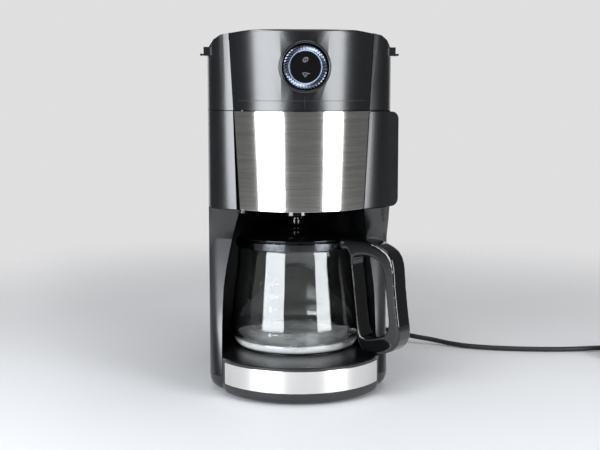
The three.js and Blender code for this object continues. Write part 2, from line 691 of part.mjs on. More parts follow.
function addHopperLid() {
  const frontPlan = (depth, rear) => {
    const half = lid.frontHalf - depth;
    const { radius, centre } = frontCircle(faceTop);
    const reach = radius - wall - seamGap - depth;
    const angle = Math.asin(half / reach);
    const front = arc([0, centre], reach, -turn / 4 - angle, -turn / 4 + angle, arcSteps);
    return [...front, [half, rear], [-half, rear]];
  };
  const side = halfWidth + overrun;
  const outer = join(
    housingSolid(0, 0, [skirtBottom, roofTop])
      .intersect(prismX(lidOutline(0, lid.rear, skirtBottom, roofTop), [-side, side])),
    prism(frontPlan(0, lid.rear), [lid.lip, roofTop]),
  ).intersect(roofSpace(0, skirtBottom));
  const under = skirtBottom - overrun;
  const inner = join(
    housingSolid(lid.wall, 0, [under, roofTop])
      .intersect(prismX(lidOutline(lid.wall, lid.rear + overrun, under, roofTop), [-side, side])),
    prism(frontPlan(lid.wall, lid.rear), [under, roofTop]),
  ).intersect(roofSpace(lid.wall, under));
  const knuckleGap = lidHinge.radius + 2 * clearance;
  const knuckleLow = lidHinge.z - knuckleGap;
  const gaps = [-1, 1].map((sign) =>
    block(sideSpan(sign, lidHinge.inner, lidHinge.outer + clearance),
      [lidHinge.y - knuckleGap, lidHinge.y + overrun], [knuckleLow, roofTop + overrun]));
  const pivot = [lidHinge.y, lidHinge.z];
  const knuckle = rodX(pivot, lidHinge.radius, [-lidHinge.inner, lidHinge.inner]);
  const bore = rodX(pivot, lidHinge.bore, [-lidHinge.inner - overrun, lidHinge.inner + overrun]);
  const ears = [-1, 1].flatMap((sign) => [
    block(sideSpan(sign, halfWidth - lid.wall, ear.end), [ear.front, ear.rear], [ear.low, ear.high]),
    block(sideSpan(sign, halfWidth, ear.lipEnd), [ear.front, ear.rear], [ear.lipLow, ear.lipLow + ear.bead]),
    rodY([sign * ear.lipEnd, ear.lipLow + ear.bead / 2], ear.bead, [ear.front, ear.rear], smallSides / 2),
  ]);
  const shell = cut(outer, inner, ...gaps);
  add("hopper_lid", cut(join(shell, knuckle, ...ears), bore), satinBlack);
}

// Control panel, dial and display
const dial = { drop: 36.3, stand: 9.7, depth: 20.7, bezel: 26.8, bezelBore: 24.2, backThickness: 2,
  stemHole: 8 };
dial.z = faceTop - dial.drop;
dial.front = noseFront - dial.stand;
dial.back = dial.front + dial.depth;
const knob = { outer: 23.8, inner: 18.7, sunk: 1, ribs: 36, ribDepth: 0.6 };
knob.front = dial.front + knob.sunk;
const lightRing = { outer: 18.4, inner: 16.6, sunk: 2.2 };
lightRing.front = dial.front + lightRing.sunk;
const button = { radius: 16.3, sunk: 1.7, thickness: 3, stem: 6, stemPast: 1.3, travel: 1.2 };
button.front = dial.front + button.sunk;
button.rear = dial.back + button.stemPast;
const board = { radius: 22, setback: 4.8, thickness: 1.6, capRadius: 3, posts: 4, postRadius: 2,
  postCircle: 19 };
board.front = dial.back + board.setback;

function addControlPanel() {
  const rows = [upper.low, faceTop].map((z) => ({
    z,
    outline: [...frontArc(z, 0, seamGap / 2), ...frontArc(z, wall, seamGap / 2).reverse()],
  }));
  const tab = hingeTab([upper.low, upper.low + hinge.tabHeight]);
  const { radius, centre } = frontCircle(upper.low);
  const reach = Math.hypot(hinge.x, hinge.y - centre);
  const towards = [hinge.x / reach, (hinge.y - centre) / reach];
  const across = [-towards[1], towards[0]].map((part) => part * hinge.barrel);
  const tip = [0, 1].map((k) => [hinge.x, hinge.y][k] + towards[k] * (radius - reach - clearance));
  const web = [
    [hinge.x - across[0], hinge.y - across[1]], [hinge.x + across[0], hinge.y + across[1]],
    [tip[0] + across[0], tip[1] + across[1]], [tip[0] - across[0], tip[1] - across[1]]];
  const webSolid = prism(web.reverse(), [upper.low, upper.low + hinge.tabHeight]);
  const front = solidOf(loft(rows.map(({ z }) => ({ z, outline: frontArc(z, 0, seamGap / 2) }))));
  const hole = rodY([0, dial.z], dial.bezel + clearance, [noseFront - overrun, seamHigh.y], wideSides);
  const panel = cut(join(solidOf(loft(rows)), webSolid.intersect(front), tab.solid), tab.bore, hole);
  add("control_panel", panel, satinBlack);
}

function addDial() {
  const centre = [0, dial.z];
  const back = [dial.back, dial.back + dial.backThickness];
  const bezel = cut(
    rodY(centre, dial.bezel, [dial.front, back[1]], wideSides),
    rodY(centre, dial.bezelBore, [dial.front - overrun, back[0]], wideSides),
    rodY(centre, dial.stemHole, [back[0] - overrun, back[1] + overrun], smallSides),
  );
  add("dial_bezel", bezel, glossBlack);

  const seat = back[0] - clearance;
  const ribbed = Array.from({ length: 2 * knob.ribs }, (_, i) => {
    const angle = (turn * i) / (2 * knob.ribs);
    const radius = i % 2 ? knob.outer : knob.outer - knob.ribDepth;
    return [radius * Math.cos(angle), dial.z + radius * Math.sin(angle)];
  });
  const ring = cut(
    prismY(ribbed, [knob.front, seat]),
    rodY(centre, knob.inner, [knob.front - overrun, seat + overrun], wideSides),
  );
  add("rotary_dial", ring, brightSteel);

  const glow = cut(
    rodY(centre, lightRing.outer, [lightRing.front, seat], wideSides),
    rodY(centre, lightRing.inner, [lightRing.front - overrun, seat + overrun], wideSides),
  );
  add("light_ring", glow, ringLight);

  const cap = join(
    rodY(centre, button.radius, [button.front, button.front + button.thickness], wideSides),
    rodY(centre, button.stem, [button.front + button.thickness / 2, button.rear], smallSides),
  );
  add("display_button", cap, glossBlack);

  const posts = Array.from({ length: board.posts }, (_, i) => {
    const angle = (turn * (i + 1 / 2)) / board.posts;
    const at = [board.postCircle * Math.cos(angle), dial.z + board.postCircle * Math.sin(angle)];
    return rodY(at, board.postRadius, [back[1] + clearance, board.front + board.thickness], smallSides / 2);
  });
  const capFront = button.rear + button.travel + clearance;
  const circuit = join(
    rodY(centre, board.radius, [board.front, board.front + board.thickness]),
    rodY(centre, board.capRadius, [capFront, board.front + board.thickness], smallSides),
    ...posts,
  );
  add("display_board", circuit, greenBoard);
}

// Grinder: motor, gear wheel, burrs, housing, chute and bean hopper
const shaft = { radius: 4, motorRadius: 2.4, motorDepth: 6 };
const burr = { radius: 22, lift: 1.2, thickness: 6.8, ribs: 12, ribHeight: 1.2, ribWidth: 2 };
burr.low = grinder.floorHigh + burr.lift;
burr.high = burr.low + burr.thickness;
const upperBurr = { outer: 24.6, inner: 11, thickness: 6 };
const posts = { radius: 4, motorRadius: 3.5, circle: 49, angleShares: [0.028, 0.361, 0.597] };
const toothShares = { tip: 0.14, root: 0.34, height: 0.75, depth: 1.15 };

function gearOutline(teeth, [x, y], phase) {
  const tooth = gears.pitchPerTooth;
  const pitch = (teeth * tooth) / 2;
  const outline = [];
  for (let i = 0; i < teeth; i++) {
    const middleAngle = (turn * (i + phase)) / teeth;
    const step = turn / teeth;
    const corner = (share, radius) => {
      const angle = middleAngle + share * step;
      outline.push([x + radius * Math.cos(angle), y + radius * Math.sin(angle)]);
    };
    const root = pitch - tooth * toothShares.depth;
    const tip = pitch + tooth * toothShares.height;
    corner(-toothShares.root, root);
    corner(-toothShares.tip, tip);
    corner(toothShares.tip, tip);
    corner(toothShares.root, root);
  }
  return outline;
}

function addGrinder() {
  const centre = [grinder.x, grinder.y];
  const wheel = join(
    prism(gearOutline(gears.wheelTeeth, centre, 1 / 2), [gears.low, gears.high]),
    rodZ(centre, shaft.radius, [floor.high + clearance, burr.high], smallSides),
  );
  add("burr_gear", wheel, brass);

  const ribs = Array.from({ length: burr.ribs }, (_, i) => {
    const length = burr.radius - 2 * shaft.radius;
    const rib = new THREE.BoxGeometry(length, burr.ribWidth, 2 * burr.ribHeight);
    rib.translate(burr.radius - burr.ribHeight - length / 2, 0, 0).rotateZ((turn * i) / burr.ribs);
    return solidOf(rib.translate(grinder.x, grinder.y, burr.high));
  });
  const lower = cut(
    join(rodZ(centre, burr.radius, [burr.low, burr.high]), ...ribs),
    rodZ(centre, shaft.radius + clearance, [burr.low - overrun, burr.high + overrun], smallSides),
  );
  add("lower_burr", lower, darkMetal);

  const upperLow = burr.high + burr.ribHeight + clearance;
  const ring = cut(
    rodZ(centre, upperBurr.outer, [upperLow, upperLow + upperBurr.thickness]),
    rodZ(centre, upperBurr.inner, [upperLow - overrun, upperLow + upperBurr.thickness + overrun], smallSides,
      upperBurr.inner + upperBurr.thickness),
  );
  add("upper_burr", ring, darkMetal);

  const feet = posts.angleShares.map((share) => {
    const angle = turn * share;
    const at = [grinder.x + posts.circle * Math.cos(angle), grinder.y + posts.circle * Math.sin(angle)];
    const arm = new THREE.BoxGeometry(posts.circle, 2 * posts.radius, grinder.floorHigh - grinder.floorLow);
    arm.translate(posts.circle / 2, 0, (grinder.floorLow + grinder.floorHigh) / 2).rotateZ(angle);
    return join(
      rodZ(at, posts.radius, [floor.high + clearance, grinder.floorHigh], smallSides),
      solidOf(arm.translate(grinder.x, grinder.y, 0)),
    );
  });
  const shaftAt = [motor.x, motor.y];
  const floorSpan = [grinder.floorLow, grinder.floorHigh];
  const through = [grinder.floorLow - overrun, grinder.floorHigh + overrun];
  const motorPost = [motor.x, motor.y + motor.radius - posts.radius / 2];
  const motorSeat = [
    rodZ(shaftAt, motor.radius + clearance, floorSpan),
    block([motor.x - posts.circle / 3, motor.x + posts.circle / 3], [grinder.y, motor.y], floorSpan),
    rodZ(motorPost, posts.motorRadius, [floor.high + clearance, grinder.floorHigh], smallSides),
  ];
  const cup = rodZ(centre, grinder.cupOuter, [grinder.floorLow, grinder.top]);
  const housing = cut(
    join(cup, ...feet, ...motorSeat),
    rodZ(centre, grinder.cupInner, [grinder.floorHigh, grinder.top + overrun]),
    rodZ(centre, shaft.radius + clearance, through, smallSides),
    rodZ(shaftAt, 2 * shaft.motorRadius, through, smallSides),
    block([chute.x - chute.half + chute.wall, chute.x + chute.half - chute.wall],
      [chute.mouth, grinder.y - grinder.cupInner + overrun],
      [grinder.floorHigh + clearance, chute.high - chute.wall]),
  );
  add("grinder_housing", housing, satinBlack);

  const motorLow = grinder.floorHigh + clearance;
  const boreTop = motorLow + shaft.motorDepth;
  const can = cut(
    join(
      rodZ(shaftAt, motor.radius, [motorLow, motor.top]),
      rodZ(shaftAt, 2 * shaft.radius, [motor.top, motor.top + shaft.radius / 2], smallSides),
    ),
    rodZ(shaftAt, shaft.motorRadius + clearance, [motorLow - overrun, boreTop], smallSides),
  );
  add("grinder_motor", can, darkMetal);

  const pinion = join(
    prism(gearOutline(gears.pinionTeeth, shaftAt, 0), [gears.low, gears.high]),
    rodZ(shaftAt, shaft.motorRadius, [gears.low, boreTop - clearance], smallSides),
  );
  add("motor_pinion", pinion, brass);

  const duct = (shrink, extra) => {
    const across = [chute.x - chute.half + shrink, chute.x + chute.half - shrink];
    const front = chute.front + shrink;
    const top = chute.high - shrink;
    return join(
      block(across, [front, chute.mouth + extra], [grinder.floorHigh + clearance + shrink, top]),
      block(across, [front, chute.rear - shrink], [chute.low - extra, top]),
    );
  };
  add("coffee_chute", cut(duct(0, 0), duct(chute.wall, overrun)), satinBlack);
}

const hopper = { half: 90, frontInset: 6, rearInset: 3.6, rimDrop: 2, rimWidth: 4, rimHeight: 2,
  binDepth: 14, wall: 2, neckRadius: 16, neckHeight: 7, corner: 12 };
hopper.front = lid.front + hopper.frontInset;
hopper.rear = lid.rear - hopper.rearInset;
hopper.rim = lid.lip - hopper.rimDrop;
hopper.knee = hopper.rim - hopper.binDepth;
hopper.neckTop = grinder.top + hopper.neckHeight;

function addHopper() {
  const steps = cornerSteps;
  const neck = (radius) => {
    const count = 4 * (steps + 1);
    return arc([grinder.x, grinder.y], radius, -turn / 4, (3 * turn) / 4 - turn / count, count - 1);
  };
  const boxAt = (margin) => roundedBox([-hopper.half - margin, hopper.half + margin],
    [hopper.front - margin, hopper.rear + margin], hopper.corner + margin);
  const low = grinder.top + clearance;
  const body = (margin, below, above) => solidOf(loft([
    { z: low - below, outline: neck(hopper.neckRadius + margin) },
    { z: hopper.neckTop + (below ? hopper.wall : 0), outline: neck(hopper.neckRadius + margin) },
    { z: hopper.knee + (below ? hopper.wall : 0), outline: boxAt(margin - hopper.rimWidth) },
    { z: hopper.rim + above, outline: boxAt(margin - hopper.rimWidth) },
  ]));
  const rim = prism(boxAt(0), [hopper.rim - hopper.rimHeight, hopper.rim]);
  const collar = rodZ([grinder.x, grinder.y], grinder.cupOuter, [low, low + hopper.wall]);
  const hollow = body(-hopper.wall, overrun, overrun);
  add("bean_hopper", cut(join(body(0, 0, 0), rim, collar), hollow), smokedPlastic);
}

// Water system: tank with its lid and valve, seat, hoses and shower head
const valve = { x: -40, inset: 28.4, spout: 10, spoutBore: 7.6, spoutLength: 13, radius: 7.2, socket: 10.6,
  socketOuter: 13 };
valve.y = tank.front + valve.inset;
valve.spoutLow = tank.bottom - valve.spoutLength;
const riser = { x: -35, gap: 0.9, radius: 3.5 };
riser.y = liner.back + riser.gap + riser.radius;

function addWater() {
  const at = [valve.x, valve.y];
  const box = join(
    prism(tankOutline(0), [tank.bottom, tank.top]),
    rodZ(at, valve.spout, [valve.spoutLow, tank.bottom + tank.wall]),
  );
  const hollow = join(
    prism(tankOutline(-tank.wall), [tank.bottom + tank.wall, tank.top + overrun]),
    rodZ(at, valve.spoutBore, [valve.spoutLow - overrun, tank.top]),
  );
  const pivot = [tankHinge.y, tankHinge.z];
  const earStart = tank.half - tank.corner + clearance;
  const ears = [-1, 1].map((sign) => {
    const span = sideSpan(sign, earStart, earStart + tankHinge.ear);
    const depth = [tankHinge.y - tankHinge.radius, tankHinge.y + tankHinge.radius];
    return join(block(span, depth, [tank.top - overrun, tankHinge.z]), rodX(pivot, tankHinge.radius, span));
  });
  const earBore = rodX(pivot, tankHinge.bore, [-tank.half, tank.half]);
  add("water_tank", cut(join(cut(box, hollow), ...ears), earBore), smokedPlastic);

  const plugTop = tank.bottom + tank.wall + clearance;
  const plug = join(
    rodZ(at, valve.radius, [valve.spoutLow, plugTop], smallSides),
    rodZ(at, valve.spout, [plugTop, plugTop + tank.wall]),
  );
  add("tank_valve", plug, silicone);

  const lidLow = tank.top + clearance;
  const lidOuter = prism(tankOutline(tankLid.margin), [lidLow, roofTop]).intersect(roofSpace(0, upper.low));
  const lidInner = prism(tankOutline(tankLid.margin - lid.wall), [lidLow - overrun, roofTop])
    .intersect(roofSpace(lid.wall, upper.low));
  const pivotEnd = tank.half - tank.corner;
  const barrelLow = tankHinge.z - tankHinge.radius;
  const behind = [skirtBottom, roofTop + overrun];
  const trimmed = [-1, 1].map((sign) =>
    block(sideSpan(sign, pivotEnd, halfWidth), [tankHinge.y - 2 * tankHinge.radius, rearFace], behind));
  const barrelBack = block([-pivotEnd, pivotEnd], [tankHinge.y - tankHinge.radius, tankHinge.y],
    [barrelLow, tankHinge.z + tankHinge.radius]);
  const cap = cut(
    join(cut(lidOuter, lidInner), barrelBack),
    block([-halfWidth, halfWidth], [tankHinge.y, rearFace], behind),
    block([-halfWidth, halfWidth], [tankHinge.skirtEnd, tankHinge.y + overrun], [skirtBottom, barrelLow]),
    ...trimmed,
  );
  const barrel = rodX(pivot, tankHinge.radius, [-pivotEnd, pivotEnd]);
  const earOuter = pivotEnd + clearance + tankHinge.ear;
  const trunnion = rodX(pivot, tankHinge.pin, [-earOuter, earOuter]);
  add("tank_lid", join(cap, barrel, trunnion), satinBlack);

  const side = halfWidth - wall - clearance;
  const rear = rearFace - wall - clearance;
  const corner = rearCornerRadius - wall;
  const front = liner.back + 2 * clearance;
  const plan = roundedBox([-side, side], [front, rear], corner);
  const notch = riser.radius + clearance;
  const through = [seat.low - overrun, seat.high + overrun];
  const seatSolid = cut(
    join(
      prism(plan, [seat.low, seat.high]),
      block([-side, side], [front, rear - corner], [seat.low, seat.high]),
      rodZ(at, valve.socketOuter, [seat.cupLow, seat.high]),
    ),
    rodZ(at, valve.socket, [seat.cupLow + seat.cupFloor, seat.high + overrun]),
    rodZ(at, pipe.hoseRadius - pipe.hoseWall, [seat.cupLow - overrun, seat.high], smallSides),
    rodZ([riser.x, riser.y], notch, through, smallSides),
    block([riser.x - notch, riser.x + notch], [liner.front, riser.y], through),
  );
  add("tank_seat", seatSolid, satinBlack);

  const heaterEnd = pipe.endY + clearance;
  const hosePoints = [
    [-pipe.endX, heaterEnd, pipe.hoseHeight],
    [-pipe.endX, liner.front, pipe.hoseHeight],
    [valve.x, valve.y - 2 * pipe.radius, pipe.hoseHeight + pipe.hoseRadius],
    [valve.x, valve.y, pipe.hoseHeight + 6 * pipe.hoseRadius],
    [valve.x, valve.y, seat.cupLow - 4 * pipe.hoseRadius],
    [valve.x, valve.y, seat.cupLow - clearance],
  ];
  const hosePath = curveThrough(hosePoints);
  add("inlet_hose", tubeGeometry(hosePath, pipe.hoseRadius, smallSides / 2, smallSides), silicone);

  const neckTop = floor.high + clearance;
  const overArm = floor.high + 5 * riser.radius;
  const riserPoints = [
    [pipe.endX, heaterEnd, pipe.hoseHeight],
    [pipe.endX, liner.front, pipe.hoseHeight],
    [0, riser.y + riser.radius, pipe.hoseHeight + riser.radius],
    [riser.x, riser.y, pipe.hoseHeight + 10 * riser.radius],
    [riser.x, riser.y, seat.low],
    [riser.x, riser.y, floor.low - 4 * riser.radius],
    [riser.x, riser.y, floor.high],
    [riser.x, riser.y - 2 * riser.radius, overArm - riser.radius],
    [riser.x, riser.y - 7 * riser.radius, overArm],
    [shower.neckX, shower.neckY + 5 * riser.radius, overArm],
    [shower.neckX, shower.neckY + riser.radius, overArm - riser.radius],
    [shower.neckX, shower.neckY, neckTop + 2 * riser.radius],
    [shower.neckX, shower.neckY, neckTop + clearance],
  ];
  const riserPath = curveThrough(riserPoints);
  add("riser_tube", tubeGeometry(riserPath, riser.radius, smallSides / 2, 2 * smallSides), silicone);

  const holes = Array.from({ length: shower.holes }, (_, i) => {
    const angle = (turn * i) / shower.holes;
    const out = (2 * shower.radius) / 3;
    return rodZ([shower.x + out * Math.cos(angle), shower.y + out * Math.sin(angle)], shower.holeRadius,
      [shower.low - overrun, floor.low + overrun], smallSides / 2);
  });
  const head = cut(
    join(
      rodZ([shower.x, shower.y], shower.radius, [shower.low, floor.low - clearance]),
      rodZ([shower.neckX, shower.neckY], shower.neckRadius, [shower.low, neckTop], smallSides),
    ),
    ...holes,
  );
  add("shower_head", head, silicone);
}

// Rear cover
const vent = { count: 6, half: 24, height: 3, pitch: 9, low: 60 };
const exit = { x: 70, z: 28, bore: 5.4 };

function addRearCover() {
  const { x, z, bore } = exit;
  const start = rearSplit + seamGap / 2;
  const strip = [
    [halfWidth, start], ...rearCorner(0), ...mirrored(rearCorner(0)), [-halfWidth, start],
    [wall - halfWidth, start], ...mirrored(rearCorner(wall)).reverse(), ...rearCorner(wall).reverse(),
    [halfWidth - wall, start]];
  const through = [rearFace - wall - overrun, rearFace + overrun];
  const slots = Array.from({ length: vent.count }, (_, i) => {
    const low = vent.low + i * vent.pitch;
    return block([-vent.half, vent.half], through, [low, low + vent.height]);
  });
  const cover = cut(
    prism(strip, [column.low, middle.high]),
    rodY([x, z], bore, through, smallSides),
    ...slots,
  );
  add("rear_cover", cover, satinBlack);
}

const powerBoard = { near: 30, width: 48, low: 70, height: 80, thickness: 1.6, relay: 12 };
const relayShares = [0.25, 0.7];

function addPowerBoard() {
  const back = liner.back + clearance;
  const face = back + powerBoard.thickness;
  const [x0, x1] = [powerBoard.near, powerBoard.near + powerBoard.width];
  const [z0, z1] = [powerBoard.low, powerBoard.low + powerBoard.height];
  const relays = relayShares.map((share) => {
    const z = mix(z0, z1, share);
    const x = mix(x0, x1, share);
    return block([x - powerBoard.relay, x + powerBoard.relay / 2], [back, face + powerBoard.relay],
      [z - powerBoard.relay / 2, z + powerBoard.relay / 2]);
  });
  add("power_board", join(block([x0, x1], [back, face], [z0, z1]), ...relays), greenBoard);
}

// Door: steel skin, frame with the carrier ring, grip and hinge pin
const door = { skin: 1.2, frameDepth: 4.8, bandDepth: 7.3, gripDepth: 4, gripPast: 8.5, gripTopGap: 1.8,
  gripCorner: 8, bandShare: 0.75, gripShare: 0.5, edge: 0.4 };
door.gripReach = halfWidth + door.gripPast;
door.gripTop = doorTop - door.gripTopGap;
const gripTipShares = { slope: 0.7, fillet: 1 / 5 };
const carrier = { rim: 55.5, rimGap: 2.4, rimThickness: 3.3, radius: 52.3, wall: 2.2, ringOuter: 56.3,
  ringHeight: 5, webHalf: 40, lift: 1.6, spoutRadius: 20, spoutLength: 18.6, bore: 8, neckBore: 5.8,
  ledgeDrop: 4.6, coneHeight: 30.8 };
carrier.rimHigh = shower.low - carrier.rimGap;
carrier.rimLow = carrier.rimHigh - carrier.rimThickness;
carrier.bottom = doorBottom + carrier.lift;
carrier.spoutLow = carrier.bottom - carrier.spoutLength;
carrier.ledge = carrier.bottom - carrier.ledgeDrop;
// Shares of the carrier's radius at its rounded bottom, outside and inside
const carrierShares = { flat: 0.76, knee: 0.88, innerKnee: 0.84, innerFlat: 0.74 };

function addDoor() {
  const edges = [middle.low + clearance, middle.high - clearance];
  const trim = seamGap / 2 + clearance;
  const band = (near, far, ends) => solidOf(loft(edges.map((z) => ({
    z,
    outline: [...frontArc(z, near, ends), ...frontArc(z, far, ends).reverse()],
  }))));
  add("door_skin", band(0, door.skin, trim), brushedSteel);

  const gripSeam = (z) => {
    const [x, y] = seamAt(z);
    return [x + seamGap / 2, y];
  };
  const gripStrip = (near, far, share) => (z) => {
    const outer = cheekCurve(gripSeam(z), sideEnd, near, share);
    return [...outer, ...cheekCurve(gripSeam(z), sideEnd, far, share).reverse()];
  };
  const cheekBand = solidOf(loft(edges.map((z) => ({
    z, outline: gripStrip(door.gripDepth + clearance, door.bandDepth, door.bandShare)(z) }))));
  const bridgeShares = [
    [-0.54, 0.21], [-0.42, 0.83], [-0.125, 1.29], [-0.625, 1.33], [-1.46, 0.875], [-1.35, 0.083]];
  const bridge = solidOf(loft(edges.map((z) => {
    const [x, y] = seamAt(z);
    return { z, outline: bridgeShares.map(([u, v]) => [x + u * door.frameDepth, y + v * door.frameDepth]) };
  })));
  const barrelWeb = solidOf(loft(edges.map((z) => {
    const { radius, centre } = frontCircle(z);
    const reach = Math.hypot(hinge.x, hinge.y - centre);
    const towards = [hinge.x / reach, (hinge.y - centre) / reach];
    const across = [-towards[1] * hinge.pinRadius, towards[0] * hinge.pinRadius];
    const out = radius - reach - door.frameDepth / 2;
    const tip = [hinge.x + towards[0] * out, hinge.y + towards[1] * out];
    return { z, outline: [
      [tip[0] - across[0], tip[1] - across[1]], [tip[0] + across[0], tip[1] + across[1]],
      [hinge.x + across[0], hinge.y + across[1]], [hinge.x - across[0], hinge.y - across[1]]] };
  })));
  const at = [hinge.x, hinge.y];
  const ringHigh = carrier.rimLow - clearance;
  const ringSpan = [ringHigh - carrier.ringHeight, ringHigh];
  const hold = [0, carafeAxis];
  const halfDepth = door.frameDepth / 2;
  const behindSkin = solidOf(loft(edges.map((z) => ({ z, outline: frontArc(z, halfDepth, trim) }))));
  const webBlock = block([-carrier.webHalf, carrier.webHalf], [noseFront, carafeAxis], ringSpan);
  const webRear = block([-carrier.webHalf, carrier.webHalf], [seamLow.y - 2 * overrun, carafeAxis], ringSpan);
  const shelf = join(
    webBlock.intersect(join(behindSkin, webRear)),
    rodZ(hold, carrier.ringOuter, ringSpan, wideSides),
  );
  const frame = cut(
    join(band(door.skin + clearance, door.frameDepth, trim), cheekBand, bridge, barrelWeb,
      rodZ(at, hinge.barrel, edges, smallSides), shelf),
    rodZ(at, hinge.bore, [doorBottom - overrun, doorTop + overrun], smallSides),
    rodZ(hold, carrier.radius + clearance, [ringSpan[0] - overrun, ringSpan[1] + overrun], wideSides),
  );
  add("door_frame", frame, satinBlack);

  const gripPlan = (z) => {
    const outer = cheekCurve(gripSeam(z), sideEnd, 0, door.gripShare);
    const inner = cheekCurve(gripSeam(z), sideEnd, door.gripDepth, door.gripShare);
    const [x, y] = outer.at(-1);
    const [, innerY] = inner.at(-1);
    const past = door.gripReach - x;
    const tipY = y + past * gripTipShares.slope;
    const tipDepth = door.gripDepth - door.edge;
    return [...outer, [door.gripReach, tipY], [door.gripReach, tipY + tipDepth],
      [x + past * gripTipShares.fillet, innerY + past * gripTipShares.fillet], ...inner.reverse()];
  };
  const corner = door.gripCorner;
  const face = [
    [0, edges[0]],
    ...arc([door.gripReach - corner, edges[0] + corner], corner, -turn / 4, 0, cornerSteps),
    ...arc([door.gripReach - corner, door.gripTop - corner], corner, 0, turn / 4, cornerSteps),
    [0, door.gripTop]];
  const grip = solidOf(loft(edges.map((z) => ({ z, outline: gripPlan(z) }))))
    .intersect(prismY(face, [noseFront, 0]));
  add("door_grip", grip, satinBlack);

  const pin = [column.high - hinge.tabHeight + hinge.pinInset, upper.low + hinge.tabHeight - hinge.pinInset];
  add("door_hinge_pin", rodZ(at, hinge.pinRadius, pin, smallSides), brightSteel);
}

// Filter carrier, basket, drip valve and spring
const basket = { rim: 51.5, rimHeight: 1.4, radius: 49, lowRadius: 36, lift: 13.4, wall: 1.2, drain: 6 };
basket.low = carrier.bottom + basket.lift;
const drip = { below: 3, tipLength: 7.8, tipRadius: 6.4, flange: 7.2, stem: 5.2, head: 10, headHeight: 2.4 };
drip.flangeTop = carrier.spoutLow - drip.below;
drip.tip = drip.flangeTop - drip.tipLength;
const spring = { wire: 0.6, radius: 6.55, curls: 5, stepsPerCurl: 8, sides: 5 };

function addCarrier() {
  const hold = [0, carafeAxis];
  const c = carrier;
  const shares = carrierShares;
  const inside = c.radius - c.wall;
  const seatTop = c.bottom + c.wall;
  const profile = [
    [c.bore, c.spoutLow], [c.spoutRadius - c.wall, c.spoutLow], [c.spoutRadius, c.spoutLow + c.wall],
    [c.spoutRadius, c.bottom - c.wall], [c.spoutRadius + c.wall, c.bottom],
    [c.radius * shares.flat, c.bottom], [c.radius * shares.knee, c.bottom + 3 * c.wall],
    [c.radius, c.bottom + c.coneHeight], [c.radius, c.rimLow],
    [c.rim, c.rimLow], [c.rim, c.rimHigh], [inside, c.rimHigh], [inside, c.bottom + c.coneHeight],
    [c.radius * shares.innerKnee, c.bottom + 4 * c.wall], [c.radius * shares.innerFlat, seatTop],
    [c.neckBore, seatTop],
    [c.neckBore, c.ledge], [c.bore, c.ledge]];
  add("filter_carrier", turned(profile, hold, roundSides), glossBlack);

  const b = basket;
  const low = c.rimHigh + clearance;
  const top = low + b.rimHeight;
  const cup = [
    [b.drain, b.low], [b.lowRadius, b.low], [b.radius, low], [b.rim, low], [b.rim, top],
    [b.radius - b.wall, top], [b.lowRadius - b.wall, b.low + b.wall], [b.drain, b.low + b.wall]];
  add("filter_basket", turned(cup, hold, roundSides), smokedPlastic);

  const headLow = seatTop + clearance;
  const stem = [
    [0, drip.tip], [drip.tipRadius, drip.tip], [drip.flange, drip.flangeTop], [drip.stem, drip.flangeTop],
    [drip.stem, headLow], [drip.head, headLow], [drip.head, headLow + drip.headHeight],
    [0, headLow + drip.headHeight]];
  add("drip_valve", turned(stem, hold, smallSides), glossBlack);

  const lowEnd = drip.flangeTop + clearance + spring.wire;
  const highEnd = c.ledge - clearance - spring.wire;
  const steps = spring.curls * spring.stepsPerCurl;
  const helix = Array.from({ length: steps + 1 }, (_, i) => {
    const angle = (turn * i) / spring.stepsPerCurl;
    const z = mix(lowEnd, highEnd, i / steps);
    return [spring.radius * Math.cos(angle), carafeAxis + spring.radius * Math.sin(angle), z];
  });
  add("drip_spring", sweep(helix, spring.wire, spring.sides), brightSteel);
}

// A closed tube with one ring of points at each place of a path, kept upright to +Z
function sweep(path, radius, sides) {
  const places = path.map((point) => new THREE.Vector3(...point));
  const up = new THREE.Vector3(0, 0, 1);
  const positions = [];
  places.forEach((place, i) => {
    const before = places[Math.max(i - 1, 0)];
    const after = places[Math.min(i + 1, places.length - 1)];
    const along = after.clone().sub(before).normalize();
    const side = along.clone().cross(up).normalize();
    const rise = side.clone().cross(along);
    for (let k = 0; k < sides; k++) {
      const angle = (turn * k) / sides;
      const point = place.clone().addScaledVector(side, radius * Math.cos(angle));
      positions.push(...point.addScaledVector(rise, radius * Math.sin(angle)).toArray());
    }
  });
  const index = [];
  for (let row = 0; row + 1 < places.length; row++) {
    for (let k = 0; k < sides; k++) {
      const a = row * sides + k;
      const b = row * sides + ((k + 1) % sides);
      index.push(a, a + sides, b + sides, a, b + sides, b);
    }
  }
  const last = (places.length - 1) * sides;
  for (let k = 1; k + 1 < sides; k++) {
    index.push(0, k, k + 1, last, last + k + 1, last + k);
  }
  const geometry = new THREE.BufferGeometry();
  geometry.setAttribute("position", new THREE.Float32BufferAttribute(positions, 3));
  geometry.setIndex(index);
  geometry.computeVertexNormals();
  return geometry;
}

// Carafe: shares of the belly radius and of the height of the glass
const glassShares = [
  [0, 0.012],
  [0.66, 0.008],
  [0.76, 0],
  [0.85, 0.004],
  [0.93, 0.03],
  [0.985, 0.075],
  [1, 0.14],
  [0.997, 0.2],
  [0.976, 0.3],
  [0.951, 0.5],
  [0.908, 0.67],
  [0.886, 0.8],
  [0.88, 0.885],
  [0.858, 0.93],
  [0.845, 1],
];
const glassFlats = 3;
const footPlace = 3;
const neckPlace = 12;
const lidCrownShares = { radius: 0.75, height: 0.7 };
const handle = { turnShare: 0.11667, width: 24, bevel: 1.3, holeBevel: 0.7, reach: 149.5, lift: 5.3, rise: 5,
  footLift: 20.6, footHeight: 8, footWidth: 10, outerSteps: 44, innerSteps: 30 };
handle.low = carafe.bottom + handle.lift;
handle.high = carafe.glassTop + handle.rise;
handle.footLow = carafe.bottom + handle.footLift;
